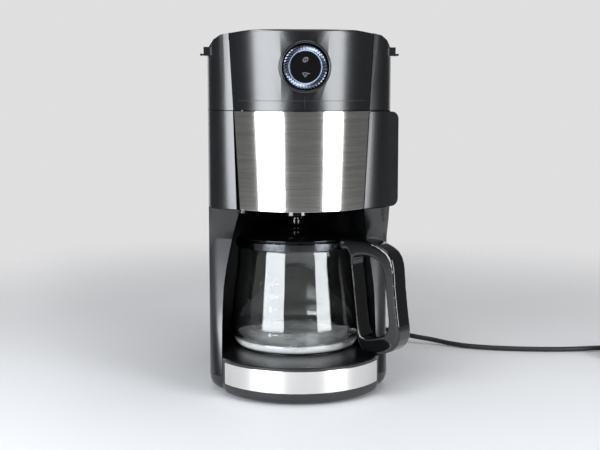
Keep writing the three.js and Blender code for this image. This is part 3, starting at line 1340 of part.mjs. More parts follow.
// Shares of the handle's reach and of its height
const handleOuterShares = [
  [0.458, 0.905], [0.458, 0.985], [0.52, 1], [0.62, 1], [0.72, 0.998], [0.82, 0.965], [0.895, 0.915],
  [0.935, 0.84], [0.96, 0.59], [0.981, 0.38], [1, 0.2], [0.987, 0.115], [0.945, 0.052], [0.88, 0.012],
  [0.767, 0], [0.68, 0.012], [0.64, 0.06], [0.627, 0.16], [0.603, 0.41], [0.575, 0.68], [0.553, 0.86],
  [0.53, 0.905]];
const handleInnerShares = [
  [0.588, 0.838], [0.602, 0.593], [0.622, 0.37], [0.646, 0.19], [0.675, 0.13], [0.75, 0.135], [0.836, 0.165],
  [0.888, 0.2], [0.904, 0.28], [0.894, 0.41], [0.876, 0.585], [0.857, 0.74], [0.813, 0.826], [0.743, 0.862],
  [0.636, 0.862]];

function addCarafe() {
  const at = [0, carafeAxis];
  const { height } = carafe;
  const outer = glassShares.map(([radiusShare, heightShare]) => [
    carafe.belly * radiusShare, carafe.bottom + height * heightShare]);
  const inner = glassShares.filter((_, i) => i % 2 === 0).map(([radiusShare, heightShare], i) => [
    Math.max(carafe.belly * radiusShare - carafe.wall, 0),
    carafe.bottom + height * heightShare + (i < glassFlats ? carafe.wall : 0)]);
  const profile = [...outer, ...inner.reverse()];
  add("carafe_glass", turned(profile, at), clearGlass);

  const bore = carafe.belly * glassShares[neckPlace][0] + clearance;
  const outside = bore + carafe.collarThickness;
  const collar = [
    [bore, carafe.collarLow], [outside, carafe.collarLow], [outside, carafe.glassTop - clearance],
    [bore, carafe.glassTop - clearance]];
  add("carafe_collar", turned(collar, at), brightSteel);

  const l = carafeLid;
  const cover = [
    [l.ventRadius, l.rimLow], [l.plug - lid.wall, l.rimLow], [l.plug - lid.wall, carafe.collarLow],
    [l.plug, carafe.collarLow], [l.plug, l.rimLow], [l.rim, l.rimLow], [l.rim, l.rimHigh],
    [l.plug * lidCrownShares.radius, l.rimHigh + l.doming * lidCrownShares.height],
    [l.hub + lid.wall, l.dome], [l.hub, l.hubTop], [2 * l.ventRadius, l.hubTop], [l.ventRadius, l.dome]];
  add("carafe_lid", turned(cover, at), glossBlack);

  const smooth = (shares, count) => {
    const points = shares.map(([reachShare, heightShare]) =>
      new THREE.Vector3(handle.reach * reachShare, mix(handle.low, handle.high, heightShare), 0));
    const curve = new THREE.CatmullRomCurve3(points, true, "centripetal");
    return curve.getSpacedPoints(count).slice(0, -1).map(({ x, y }) => [x, y]);
  };
  const side = handle.width / 2;
  const bevelled = (outline, size, past) => {
    const ends = inset(outline, Math.sign(size) * (Math.abs(size) + past));
    return loft([
      { z: -side - past, outline: ends },
      { z: Math.abs(size) - side, outline },
      { z: side - Math.abs(size), outline },
      { z: side + past, outline: ends },
    ]);
  };
  const body = bevelled(smooth(handleOuterShares.toReversed(), handle.outerSteps), handle.bevel, 0);
  const hole = bevelled(smooth(handleInnerShares, handle.innerSteps), -handle.holeBevel, handle.holeBevel);
  const foot = new THREE.BoxGeometry(1, 1, 1);
  const footReach = [carafe.belly + clearance, handle.reach * handleInnerShares[footPlace][0] - handle.bevel];
  foot.scale(footReach[1] - footReach[0], handle.footHeight, handle.footWidth);
  foot.translate((footReach[0] + footReach[1]) / 2, handle.footLow + handle.footHeight / 2, 0);
  const azimuth = turn * handle.turnShare;
  const towards = new THREE.Vector3(Math.cos(azimuth), -Math.sin(azimuth), 0);
  const up = new THREE.Vector3(0, 0, 1);
  const turnIn = new THREE.Matrix4().makeBasis(towards, up, towards.clone().cross(up));
  turnIn.setPosition(0, carafeAxis, 0);
  for (const geometry of [body, hole, foot]) {
    geometry.applyMatrix4(turnIn);
  }
  const keep = rodZ(at, outside + clearance, [handle.low - overrun, handle.high + overrun], wideSides);
  add("carafe_handle", cut(join(cut(solidOf(body), solidOf(hole)), solidOf(foot)), keep), glossBlack);
}

// Mains lead: a free stretch, then a coil with its tie and plug
const cord = { radius: 3.15, reliefEnd: 190, reliefRadius: 6.2, reliefTip: 4.4, flange: 6.6, sides: 8 };
const leadPoints = [
  [70, 190.4, 28],
  [70.2, 198, 27.8],
  [76, 215, 24.5],
  [86, 223.5, 21],
  [99, 227, 17.5],
  [113, 224.5, 14.8],
  [127, 217, 12.8],
  [140, 206, 11.5],
  [152, 192, 10.6],
  [164, 178.5, 10],
  [177, 171.5, 8.6],
  [190, 166.5, 7],
  [202, 160, 5.4],
  [213, 152.5, 4.2],
  [232, 140, 3.5],
  [258, 128.5, 3.4],
  [290, 119.5, 3.4],
  [325, 113.5, 3.4],
  [360, 110.8, 3.6],
  [395, 110.5, 4.4],
  [423.4, 110.5, 4.9],
];
const coil = { x: 430, y: 72, inner: 28, pitch: 8.4, spiral: 1.25, climb: 0.5, layer: 7, low: 4.9, tail: 46,
  steps: 24, sides: 6 };
coil.outer = coil.inner + coil.pitch * coil.spiral;
coil.turns = 2 * coil.spiral + coil.climb;

function coilPath() {
  const { smoothstep } = THREE.MathUtils;
  const rise = (loops) => coil.layer * smoothstep(loops, coil.spiral, coil.spiral + coil.climb);
  const radiusAt = (loops) => coil.inner
    + coil.pitch * Math.max(coil.spiral - loops, loops - coil.spiral - coil.climb, 0);
  const count = Math.round(coil.turns * coil.steps);
  const loops = Array.from({ length: count + 1 }, (_, i) => {
    const done = i / coil.steps;
    const angle = turn / 4 - turn * done;
    const radius = radiusAt(done);
    return [coil.x + radius * Math.cos(angle), coil.y + radius * Math.sin(angle), coil.low + rise(done)];
  });
  const start = [coil.x - 2 * cord.radius, coil.y + coil.outer, coil.low];
  const end = loops.at(-1);
  return [start, ...loops, [end[0] + coil.tail, end[1], end[2]]];
}

// The least gap between stretches of the coil that aren't neighbours along it
function selfGap(path, radius) {
  let least = Infinity;
  path.forEach((a, i) => {
    path.slice(i + coil.steps / 2).forEach((b) => {
      const gap = Math.hypot(a[0] - b[0], a[1] - b[1], a[2] - b[2]) - 2 * radius;
      least = Math.min(least, gap);
    });
  });
  return least;
}

const tie = { width: 6, thickness: 1.2, slack: 0.6 };
const plug = { length: 38, half: 13, thickness: 10, neck: 5.2, neckRoot: 6.24, neckLength: 14, pinRadius: 2,
  pinLength: 18, pinHalf: 9.5 };

function addCord() {
  const { x, z, bore } = exit;
  const inside = rearFace - wall - 2 * clearance;
  const relief = join(
    rodY([x, z], cord.flange, [inside - wall, inside], smallSides),
    rodY([x, z], bore - clearance, [inside - wall, rearFace + clearance], smallSides),
    rodY([x, z], cord.reliefRadius, [rearFace + clearance, cord.reliefEnd], smallSides, cord.reliefTip),
  );
  add("cord_strain_relief", relief, rubber, cordGroup);

  const lead = curveThrough(leadPoints);
  const leadSteps = Math.round(lead.getLength() / (6 * cord.radius));
  add("cord_lead", tubeGeometry(lead, cord.radius, cord.sides, leadSteps), rubber, cordGroup);

  const path = coilPath();
  console.log("coil least gap to itself, mm:", selfGap(path, cord.radius).toFixed(2));
  add("cord_coil", sweep(path, cord.radius, coil.sides), rubber, cordGroup);

  const near = coil.y - coil.outer + (coil.pitch * (1 - coil.climb)) - cord.radius - tie.slack;
  const far = coil.y - coil.inner + cord.radius + tie.slack;
  const low = coil.low - cord.radius - tie.slack / 2;
  const high = coil.low + coil.layer + cord.radius + tie.slack;
  const t = tie.thickness;
  const band = cut(
    block([coil.x - tie.width / 2, coil.x + tie.width / 2], [near - t, far + t], [low - t, high + t]),
    block([coil.x - tie.width, coil.x + tie.width], [near, far], [low, high]),
  );
  add("cord_tie", band, rubber, cordGroup);

  const start = path.at(-1);
  const neckStart = start[0] + clearance;
  const bodyStart = neckStart + plug.neckLength;
  const bodyEnd = bodyStart + plug.length;
  const across = [start[1] - plug.half, start[1] + plug.half];
  const bodyOutline = roundedBox([bodyStart, bodyEnd], across, plug.half / 2);
  const neckLength = plug.neckLength + plug.half / 2;
  const neck = new THREE.CylinderGeometry(plug.neck, plug.neckRoot, neckLength, smallSides);
  neck.rotateZ(turn / 4).translate(neckStart + neckLength / 2, start[1], start[2]);
  const pinSpan = [bodyEnd - plug.half / 2, bodyEnd + plug.pinLength];
  const pins = [-1, 1].map((sign) =>
    rodX([start[1] + sign * plug.pinHalf, start[2]], plug.pinRadius, pinSpan));
  const body = join(
    prism(bodyOutline, [start[2] - plug.thickness, start[2] + plug.thickness]),
    solidOf(neck),
    ...pins,
  );
  add("power_plug", body, rubber, cordGroup);
}

addBase();
addWarming();
addColumns();
addMiddlePanels();
addUpperHousing();
addHopperLid();
addControlPanel();
addDial();
addGrinder();
addHopper();
addWater();
addRearCover();
addPowerBoard();
addDoor();
addCarrier();
addCarafe();
addCord();

// The origin is under the middle of the machine without its lead
const centre = new THREE.Box3().setFromObject(model).getCenter(new THREE.Vector3());
const group = new THREE.Group();
group.add(model, cordGroup);
group.position.set(-centre.x, -centre.y, 0);

export default group;
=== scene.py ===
import json
import math

import bpy
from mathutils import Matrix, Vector


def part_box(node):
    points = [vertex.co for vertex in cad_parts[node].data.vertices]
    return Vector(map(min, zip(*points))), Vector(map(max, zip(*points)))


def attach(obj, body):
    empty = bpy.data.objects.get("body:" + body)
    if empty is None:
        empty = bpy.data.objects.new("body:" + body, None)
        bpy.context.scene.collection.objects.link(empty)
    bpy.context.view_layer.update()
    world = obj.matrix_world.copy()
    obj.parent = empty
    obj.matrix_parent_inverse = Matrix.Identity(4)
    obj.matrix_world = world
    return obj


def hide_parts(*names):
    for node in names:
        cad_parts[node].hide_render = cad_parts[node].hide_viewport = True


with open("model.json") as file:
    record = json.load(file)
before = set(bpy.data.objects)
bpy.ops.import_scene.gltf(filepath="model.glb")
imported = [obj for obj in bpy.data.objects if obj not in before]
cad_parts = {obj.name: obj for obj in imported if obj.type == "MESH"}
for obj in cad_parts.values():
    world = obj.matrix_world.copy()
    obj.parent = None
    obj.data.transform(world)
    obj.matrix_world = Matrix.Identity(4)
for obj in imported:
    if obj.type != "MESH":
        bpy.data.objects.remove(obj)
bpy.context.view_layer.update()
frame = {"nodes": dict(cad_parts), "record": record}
nodes = frame["nodes"]

# Places below are in the source's millimetres, whose origin is in the middle of the housing
MM = 0.001
HALF_WIDTH = 100
HOUSING_REAR = 160
LEFT_SIDE, REAR_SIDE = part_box("base_shell")[0].x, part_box("rear_cover")[1].y
SHIFT = Vector((LEFT_SIDE + HALF_WIDTH * MM, REAR_SIDE - HOUSING_REAR * MM, 0))
RIGHT_ANGLE = 90


def at(x, y, z):
    """A place given in the source's millimetres, in metres in the frame."""
    return Vector((x, y, z)) * MM + SHIFT


def link(name, data):
    made = bpy.data.objects.new(name, data)
    bpy.context.scene.collection.objects.link(made)
    return made


def mesh_piece(name, verts, faces, smooth=False):
    mesh = bpy.data.meshes.new(name)
    mesh.from_pydata(verts, [], faces)
    if smooth:
        mesh.polygons.foreach_set("use_smooth", [True] * len(mesh.polygons))
    return link(name, mesh)


# Camera
CAMERA_PLACE = (-98.676, -1303.2045, 339.869)
CAMERA_DOWN = 6.94
CAMERA_TURN = 4.5
SENSOR_WIDTH = 36
FOCAL_LENGTH = 69


def add_camera():
    data = bpy.data.cameras.new("camera")
    data.sensor_width = SENSOR_WIDTH
    data.lens = FOCAL_LENGTH
    camera = link("camera", data)
    camera.location = at(*CAMERA_PLACE)
    camera.rotation_euler = (math.radians(RIGHT_ANGLE - CAMERA_DOWN), 0, math.radians(-CAMERA_TURN))
    bpy.context.scene.camera = camera


add_camera()

# Mains lead: the same route as the solids
CORD_RADIUS = 3.15
CORD_SIDES = 4
CORD_STEPS = 6
LEAD = [
    (70, 190.4, 28),
    (70.2, 198, 27.8),
    (76, 215, 24.5),
    (86, 223.5, 21),
    (99, 227, 17.5),
    (113, 224.5, 14.8),
    (127, 217, 12.8),
    (140, 206, 11.5),
    (152, 192, 10.6),
    (164, 178.5, 10),
    (177, 171.5, 8.6),
    (190, 166.5, 7),
    (202, 160, 5.4),
    (213, 152.5, 4.2),
    (232, 140, 3.5),
    (258, 128.5, 3.4),
    (290, 119.5, 3.4),
    (325, 113.5, 3.4),
    (360, 110.8, 3.6),
    (395, 110.5, 4.4),
    (423.4, 110.5, 4.9),
]
# Spiral in, climb a layer, spiral out; the counts of turns are in spiral and climb
COIL = {
    "x": 430,
    "y": 72,
    "inner": 28,
    "pitch": 8.4,
    "spiral": 1.25,
    "climb": 0.5,
    "layer": 7,
    "low": 4.9,
    "tail": 46,
}
COIL_STEPS = 24
TAIL_SHARES = (0.25, 0.5, 0.75, 1)


def smooth_step(share):
    return share * share * (3 - 2 * share)


def coil_points():
    spiral, climb = COIL["spiral"], COIL["climb"]
    points = []
    for i in range(round((2 * spiral + climb) * COIL_STEPS) + 1):
        done = i / COIL_STEPS
        rise = COIL["layer"] * smooth_step(min(max((done - spiral) / climb, 0), 1))
        angle = math.pi / 2 - 2 * math.pi * done
        radius = COIL["inner"] + COIL["pitch"] * max(spiral - done, done - spiral - climb, 0)
        points.append((COIL["x"] + radius * math.cos(angle), COIL["y"] + radius * math.sin(angle),
                       COIL["low"] + rise))
    end = points[-1]
    return points + [(end[0] + COIL["tail"] * share, end[1], end[2]) for share in TAIL_SHARES]


def cord_curve(name, points, radius):
    """A round tube: the thickness is in the points' radius, so that its bounds come out right."""
    curve = bpy.data.curves.new(name, "CURVE")
    curve.dimensions = "3D"
    curve.bevel_depth = 1
    curve.bevel_resolution = CORD_SIDES
    curve.resolution_u = CORD_STEPS
    curve.use_fill_caps = True
    spline = curve.splines.new("BEZIER")
    spline.bezier_points.add(len(points) - 1)
    places = [at(*point) for point in points]
    for i, bezier in enumerate(spline.bezier_points):
        before, after = places[max(i - 1, 0)], places[min(i + 1, len(places) - 1)]
        along = (after - before).normalized()
        bezier.handle_left_type = bezier.handle_right_type = "FREE"
        bezier.co = places[i]
        bezier.radius = radius * MM
        bezier.handle_left = places[i] - along * (places[i] - before).length / 3
        bezier.handle_right = places[i] + along * (after - places[i]).length / 3
    return link(name, curve)


cord_points = LEAD + coil_points()
cord = cord_curve("mains_lead", cord_points, CORD_RADIUS)
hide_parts("cord_lead", "cord_coil")
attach(cord, "machine")

# Carafe glass: the solid's outer profile, with a thick foot and a domed floor inside.
# Points are radius and height over the foot, from the axis outward and back to the axis
GLASS_LOW = 42.4
CARAFE_AXIS = 9
GLASS_OUTER = [
    (0, 1.5), (20, 1.5), (40, 1.2), (52, 0.5), (58, 0), (64, 0.5), (68.2, 2.2), (70.6, 5), (71.4, 7.6),
    (71.2, 9.6), (71.4, 10.8), (73.2, 13), (75.2, 17), (76, 21.5), (75.6, 28.5), (74.2, 38), (72.6, 55),
    (70.9, 70), (69, 83), (67.4, 98), (66.9, 109), (65.4, 115), (64.2, 119.5), (64.2, 123.6),
]
GLASS_INNER = [
    (62, 123.6), (62, 119), (63.2, 114.6), (64.6, 109), (65.1, 98), (66.7, 83), (68.6, 70), (70.3, 55),
    (71.9, 37), (73.2, 29), (73.4, 22), (71.6, 16.5), (67.5, 11.5), (60, 8.4), (50, 7.2), (34, 7.4),
    (16, 8), (0, 8.4),
]
GLASS_SIDES = 128
GLASS_PARTS = 4


def smooth_line(points, parts):
    """A smooth line through the points of a profile, with this many steps from each to the next."""

    def between(p, q, r, s, t):
        bend, twist = 2 * p - 5 * q + 4 * r - s, 3 * q - p - 3 * r + s
        return (2 * q + (r - p) * t + bend * t ** 2 + twist * t ** 3) / 2

    line = []
    for i in range(len(points) - 1):
        a, b = points[max(i - 1, 0)], points[i]
        c, d = points[i + 1], points[min(i + 2, len(points) - 1)]
        for j in range(parts):
            line.append(tuple(between(*near, j / parts) for near in zip(a, b, c, d)))
    return line + [points[-1]]


def turned(name, profile, centre, sides):
    """A closed body turned round an upright axis, from a profile whose ends lie on the axis."""
    rings = profile[1:-1]
    verts, faces = [], []
    for radius, z in rings:
        for k in range(sides):
            angle = 2 * math.pi * k / sides
            verts.append(at(centre[0] + radius * math.cos(angle), centre[1] + radius * math.sin(angle), z))
    first, last = len(verts), len(verts) + 1
    verts += [at(*centre, profile[0][1]), at(*centre, profile[-1][1])]
    top = (len(rings) - 1) * sides
    for row in range(len(rings) - 1):
        low, high = row * sides, (row + 1) * sides
        for k in range(sides):
            k2 = (k + 1) % sides
            faces.append((low + k, low + k2, high + k2, high + k))
    for k in range(sides):
        k2 = (k + 1) % sides
        faces.append((first, k2, k))
        faces.append((last, top + k, top + k2))
    return mesh_piece(name, verts, faces, smooth=True)


outer_glass = smooth_line(GLASS_OUTER, GLASS_PARTS)
inner_glass = smooth_line(GLASS_INNER, GLASS_PARTS)
profile = [(max(radius, 0), z + GLASS_LOW) for radius, z in outer_glass + inner_glass]
glass = turned("carafe_body", profile, (0, CARAFE_AXIS), GLASS_SIDES)
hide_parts("carafe_glass")
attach(glass, "carafe")

# Dial: a ring whose face is cut into facets. Rows are radius and distance behind the front
KNURL_TEETH = 84
KNURL_ROWS = ((17.3, 0.5), (18.2, 0.25), (20.0, 0.1), (21.3, 0.25), (22.5, 0.9), (23.4, 2.2), (23.6, 4.0))
KNURL_DEPTH = 0.42
# The bore that clears the light ring, and how far behind the front its thin lip ends
KNURL_BORE = 19.2
KNURL_LIP = 0.8


def knurled_ring(name, centre, front, rear):
    """Every other point of each row between the first and the last is set back, which makes the facets."""
    verts, faces = [], []

    def add_row(radius, depth, turn=0.0, deeper=None):
        for k in range(KNURL_TEETH):
            angle = 2 * math.pi * (k + turn) / KNURL_TEETH
            extra = deeper(k) if deeper else 0
            verts.append(Vector((centre.x + radius * MM * math.cos(angle), depth + extra,
                                 centre.z + radius * MM * math.sin(angle))))

    last = len(KNURL_ROWS) - 1
    for row, (radius, back) in enumerate(KNURL_ROWS):
        cut = KNURL_DEPTH * MM if 0 < row < last else 0
        add_row(radius, front + back * MM, (row % 2) / 2, lambda k: cut * ((k + row // 2) % 2))
    rim = KNURL_ROWS[-1][0]
    for radius, depth in ((rim, rear), (KNURL_BORE, rear), (KNURL_BORE, front + KNURL_LIP * MM)):
        add_row(radius, depth)
    rows = len(verts) // KNURL_TEETH
    for row in range(rows):
        a, b = row * KNURL_TEETH, (row + 1) % rows * KNURL_TEETH
        for k in range(KNURL_TEETH):
            k2 = (k + 1) % KNURL_TEETH
            if row % 2 == 0 or row >= last:
                faces += [(a + k, a + k2, b + k), (a + k2, b + k2, b + k)]
            else:
                faces += [(a + k, a + k2, b + k2), (a + k, b + k2, b + k)]
    return mesh_piece(name, verts, faces)


dial_low, dial_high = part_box("rotary_dial")
dial_centre = (dial_low + dial_high) / 2
knurl = knurled_ring("knurled_ring", dial_centre, dial_low.y, dial_high.y)
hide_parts("rotary_dial")
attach(knurl, "dial")

# Signs and lines: flat strokes that stand a hair proud of what they are on
STROKE_HIGH = 0.12
STROKE_LOW = 0.02


def stroke_mesh(name, strokes, place, width):
    """Ribbons along flat strokes. A place gives a point and its outward normal for each flat point."""
    verts, faces = [], []
    for stroke in strokes:
        closed = stroke[0] == stroke[-1]
        points = stroke[:-1] if closed else stroke
        count = len(points)
        start = len(verts)
        for i, (u, v) in enumerate(points):
            before = points[i - 1] if closed or i else points[i]
            after = points[(i + 1) % count] if closed or i + 1 < count else points[i]
            du, dv = after[0] - before[0], after[1] - before[1]
            length = math.hypot(du, dv) or 1
            across = (-dv / length * width / 2, du / length * width / 2)
            for side in (1, -1):
                spot, normal = place(u + side * across[0], v + side * across[1])
                verts.append(spot + normal * STROKE_HIGH * MM)
                verts.append(spot + normal * STROKE_LOW * MM)
        for i in range(count if closed else count - 1):
            a, b = start + 4 * i, start + 4 * ((i + 1) % count)
            faces += [(a, b, b + 2, a + 2), (a + 1, a + 3, b + 3, b + 1)]
            faces += [(a, a + 1, b + 1, b), (a + 2, b + 2, b + 3, a + 3)]
        if not closed:
            a, b = start, start + 4 * (count - 1)
            faces += [(a, a + 2, a + 3, a + 1), (b, b + 1, b + 3, b + 2)]
    return mesh_piece(name, verts, faces)


def moved(strokes, u, v):
    return [[(x + u, y + v) for x, y in stroke] for stroke in strokes]


OVAL_POINTS = 24


def oval(u, v, wide, high, tilt=0.0):
    """A closed oval stroke round a point, tilted by degrees."""
    turned_by = math.radians(tilt)
    line = []
    for i in range(OVAL_POINTS):
        angle = 2 * math.pi * i / OVAL_POINTS
        x, y = wide * math.cos(angle), high * math.sin(angle)
        line.append((u + x * math.cos(turned_by) - y * math.sin(turned_by),
                     v + x * math.sin(turned_by) + y * math.cos(turned_by)))
    return line + [line[0]]


# Display: a bean above and a funnel below
SIGN_STROKE = 0.34
SIGN_OFFSET = 7.4
BEAN = [
    oval(0, 0, 2.9, 2.0, 40),
    [(-2.0, -1.9), (-0.7, -1.2), (-0.2, 0), (0.6, 0.9), (2.0, 1.7)],
]
FUNNEL = [
    [(-2.9, 1.3), (-2.9, 0.4), (-1.5, -0.9), (1.2, -0.9), (2.2, 0.4), (2.2, 1.3), (-2.9, 1.3)],
    [(2.2, 0.9), (3.6, 0.9), (4.6, 0.3)],
    [(-0.9, -2.0), (0.5, -2.0), (-0.2, -3.0), (-0.9, -2.0)],
]
display_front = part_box("display_button")[0].y


def on_display(u, v):
    return Vector((dial_centre.x + u * MM, display_front, dial_centre.z + v * MM)), Vector((0, -1, 0))


signs = moved(BEAN, 0, SIGN_OFFSET) + moved(FUNNEL, 0, -SIGN_OFFSET)
icons = stroke_mesh("display_signs", signs, on_display, SIGN_STROKE)
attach(icons, "display_button")

# Control panel: grey strokes paint the shade along a crease above its lower edge and the highlight on a short
# upright groove under the dial.
# The front's arc is given by its seams at the door's foot and at the top of the front
SEAM_LOW = (67.3, -77.0)
SEAM_HIGH = (77.3, -72.0)
DOOR_LOW = 207.0
FACE_TOP = 394.5
NOSE_FRONT = -113.0
CREASE_HEIGHT = 323.5
CREASE_HALF = 68
CREASE_STEPS = 20
UPRIGHT_LOW = 316
UPRIGHT_STEP = 2
UPRIGHT_STEPS = 7
PANEL_STROKE = 0.45


def on_panel(u, v):
    """The bulged front: u is the distance from its middle, v the height."""
    share = (v - DOOR_LOW) / (FACE_TOP - DOOR_LOW)
    x, y = (a + (b - a) * share for a, b in zip(SEAM_LOW, SEAM_HIGH))
    sagitta = y - NOSE_FRONT
    radius = (x * x + sagitta * sagitta) / (2 * sagitta)
    angle = math.asin(u / radius)
    normal = Vector((math.sin(angle), -math.cos(angle), 0))
    return at(u, NOSE_FRONT + radius * (1 - math.cos(angle)), v), normal


crease_steps = range(-CREASE_STEPS, CREASE_STEPS + 1)
crease = [(CREASE_HALF * step / CREASE_STEPS, CREASE_HEIGHT) for step in crease_steps]
upright = [(0, UPRIGHT_LOW + UPRIGHT_STEP * step) for step in range(UPRIGHT_STEPS)]
# Painted shade and highlight: flat grey strokes, with no relief of their own
panel_lines = stroke_mesh("panel_lines", [crease, upright], on_panel, PANEL_STROKE)
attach(panel_lines, "machine")

# Cup scale on the glass: even numbers with short ticks
DIGITS = {
    "0": [oval(0, 0, 1.5, 2.4)],
    "1": [[(-1.0, 1.4), (0.3, 2.4), (0.3, -2.4)]],
    "2": [[(-1.4, 1.2), (-1.0, 2.1), (0, 2.4), (1.1, 2.0), (1.4, 1.1), (0.9, 0), (-1.5, -2.4), (1.5, -2.4)]],
    "4": [[(0.7, -2.4), (0.7, 2.4), (-1.6, -0.9), (1.6, -0.9)]],
    "6": [oval(0, -0.9, 1.5, 1.5), [(-1.5, -0.7), (-1.1, 1.1), (0, 2.1), (1.2, 2.4)]],
    "8": [oval(0, 1.2, 1.2, 1.2), oval(0, -1.2, 1.5, 1.3)],
}
DIGIT_PITCH = 3.6
SCALE_CUPS = (4, 6, 8, 10, 12)
SCALE_LOW = 66
SCALE_PITCH = 14
SCALE_AZIMUTH = -27.0
TICK = (4.6, 9.6)
SCALE_STROKE = 0.7
BELLY = 76
SIDE_WALL = 40


def glass_radius(z):
    """Outer radius of the glass at a height, on its side wall."""
    for (r1, z1), (r2, z2) in zip(outer_glass, outer_glass[1:]):
        if r1 > SIDE_WALL and z1 <= z - GLASS_LOW <= z2:
            return r1 + (r2 - r1) * (z - GLASS_LOW - z1) / (z2 - z1)
    return BELLY


def on_glass(u, v):
    radius = glass_radius(v)
    angle = math.radians(SCALE_AZIMUTH) + u / BELLY
    normal = Vector((math.sin(angle), -math.cos(angle), 0))
    return at(radius * normal.x, CARAFE_AXIS + radius * normal.y, v), normal


def scale_strokes():
    strokes = []
    for step, cups in enumerate(SCALE_CUPS):
        z = SCALE_LOW + SCALE_PITCH * step
        digits = str(cups)
        for i, digit in enumerate(digits):
            strokes += moved(DIGITS[digit], (i - (len(digits) - 1) / 2) * DIGIT_PITCH, z)
        strokes.append([(end, z) for end in TICK])
    return strokes


cup_scale = stroke_mesh("cup_scale", scale_strokes(), on_glass, SCALE_STROKE)
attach(cup_scale, "carafe")

# Materials. Nearly all that the noise gives lies between these two values
NOISE_LOW = 0.3
NOISE_HIGH = 0.7


def new_material(name):
    made = bpy.data.materials.new(name)
    made.use_nodes = True
    tree = made.node_tree
    return made, tree, tree.nodes["Principled BSDF"]


def node(tree, kind, inputs=None, **settings):
    """A shader node whose inputs are given as values or as other nodes' sockets."""
    made = tree.nodes.new(kind)
    for key, value in settings.items():
        setattr(made, key, value)
    for key, value in (inputs or {}).items():
        if isinstance(value, bpy.types.NodeSocket):
            tree.links.new(value, made.inputs[key])
        else:
            made.inputs[key].default_value = value
    return made


def set_up(tree, shader, **values):
    """Sets the shader's own sockets: an underscore in a name stands for a space."""
    for key, value in values.items():
        socket = shader.inputs[key.replace("_", " ")]
        if isinstance(value, bpy.types.NodeSocket):
            tree.links.new(value, socket)
        else:
            socket.default_value = value


def noise_field(tree, scale, stretch=(1, 1, 1), detail=3.0, roughness=0.5):
    """Noise in object space, so that it stays on the piece."""
    place = node(tree, "ShaderNodeTexCoord")
    mapping = node(tree, "ShaderNodeMapping", {"Vector": place.outputs["Object"], "Scale": stretch})
    noise = node(tree, "ShaderNodeTexNoise", {"Vector": mapping.outputs["Vector"], "Scale": scale,
                                              "Detail": detail, "Roughness": roughness})
    return noise.outputs["Fac"]


def ramp(tree, factor, low, high):
    made = node(tree, "ShaderNodeValToRGB", {"Fac": factor})
    ends = made.color_ramp.elements
    ends[0].position, ends[1].position = NOISE_LOW, NOISE_HIGH
    ends[0].color, ends[1].color = (*low, 1), (*high, 1)
    return made.outputs["Color"]


def spread(tree, factor, low, high):
    made = node(tree, "ShaderNodeMapRange", {"Value": factor, "From Min": NOISE_LOW, "From Max": NOISE_HIGH,
                                             "To Min": low, "To Max": high})
    return made.outputs["Result"]


def bump(tree, height, strength, distance):
    made = node(tree, "ShaderNodeBump", {"Height": height, "Strength": strength, "Distance": distance})
    return made.outputs["Normal"]


def scaled(color, factor):
    return tuple(min(c * factor, 1) for c in color)


DRIFT_SCALE = 14.0
HANDLED_SCALE = 45.0
HANDLED_GLOSS = (0.96, 1.05)
GRAIN_DISTANCE = 0.0002
COAT_ROUGHNESS = 0.03


def plastic(name, color, roughness, grain=0.02, grain_scale=1800.0, coat=0.0, mottle=0.12, specular=0.5):
    """Moulded plastic or paint: a fine grain, a slight drift in tone and uneven gloss."""
    made, tree, shader = new_material(name)
    drift = noise_field(tree, DRIFT_SCALE)
    handled = noise_field(tree, HANDLED_SCALE, detail=5.0)
    duller, glossier = (roughness * share for share in HANDLED_GLOSS)
    set_up(tree, shader, Base_Color=ramp(tree, drift, scaled(color, 1 - mottle), scaled(color, 1 + mottle)),
           Roughness=spread(tree, handled, duller, glossier), Specular_IOR_Level=specular,
           Coat_Weight=coat, Coat_Roughness=COAT_ROUGHNESS)
    if grain:
        texture = noise_field(tree, grain_scale, detail=2.0)
        set_up(tree, shader, Normal=bump(tree, texture, grain, GRAIN_DISTANCE))
    return made


# The brushing runs level round the piece, so the noise is stretched in both level directions
BRUSHED_ALONG = (0.02, 0.02, 1.0)
FINE_BRUSHING = 1500.0
COARSE_BRUSHING = 420.0
BRUSHED_GLOSS = (0.85, 1.15)
HIGHLIGHT_STRETCH = 0.7
QUARTER_TURN = 0.25
BRUSHED_RELIEF = 0.06
BRUSHED_DISTANCE = 0.0001


def brushed(name, color, roughness, streak):
    """Brushed steel: long streaks along the brushing in tone, gloss and relief."""
    made, tree, shader = new_material(name)
    fine = noise_field(tree, FINE_BRUSHING, BRUSHED_ALONG, detail=4.0, roughness=0.7)
    coarse = noise_field(tree, COARSE_BRUSHING, BRUSHED_ALONG)
    both = node(tree, "ShaderNodeMath", {0: fine, 1: coarse}, operation="ADD").outputs["Value"]
    mean = node(tree, "ShaderNodeMath", {0: both, 1: 0.5}, operation="MULTIPLY").outputs["Value"]
    tangent = node(tree, "ShaderNodeTangent", direction_type="RADIAL", axis="Z").outputs["Tangent"]
    duller, glossier = (roughness * share for share in BRUSHED_GLOSS)
    set_up(tree, shader, Base_Color=ramp(tree, mean, scaled(color, 1 - streak), scaled(color, 1 + streak)),
           Roughness=spread(tree, mean, duller, glossier), Metallic=1, Anisotropic=HIGHLIGHT_STRETCH,
           Anisotropic_Rotation=QUARTER_TURN, Tangent=tangent,
           Normal=bump(tree, mean, BRUSHED_RELIEF, BRUSHED_DISTANCE))
    return made


WEAR_SCALE = 220.0
WORN_ROUGHNESS = 1.4


def metal(name, color, roughness, wear=0.08):
    """Plain metal with fine marks."""
    made, tree, shader = new_material(name)
    marks = noise_field(tree, WEAR_SCALE, detail=5.0)
    set_up(tree, shader, Base_Color=ramp(tree, marks, scaled(color, 1 - wear), color),
           Roughness=spread(tree, marks, roughness, roughness * WORN_ROUGHNESS), Metallic=1)
    return made


FILM_SCALE = 25.0
FILM_TONE = 1.01
FILM_GLOSS = 0.8


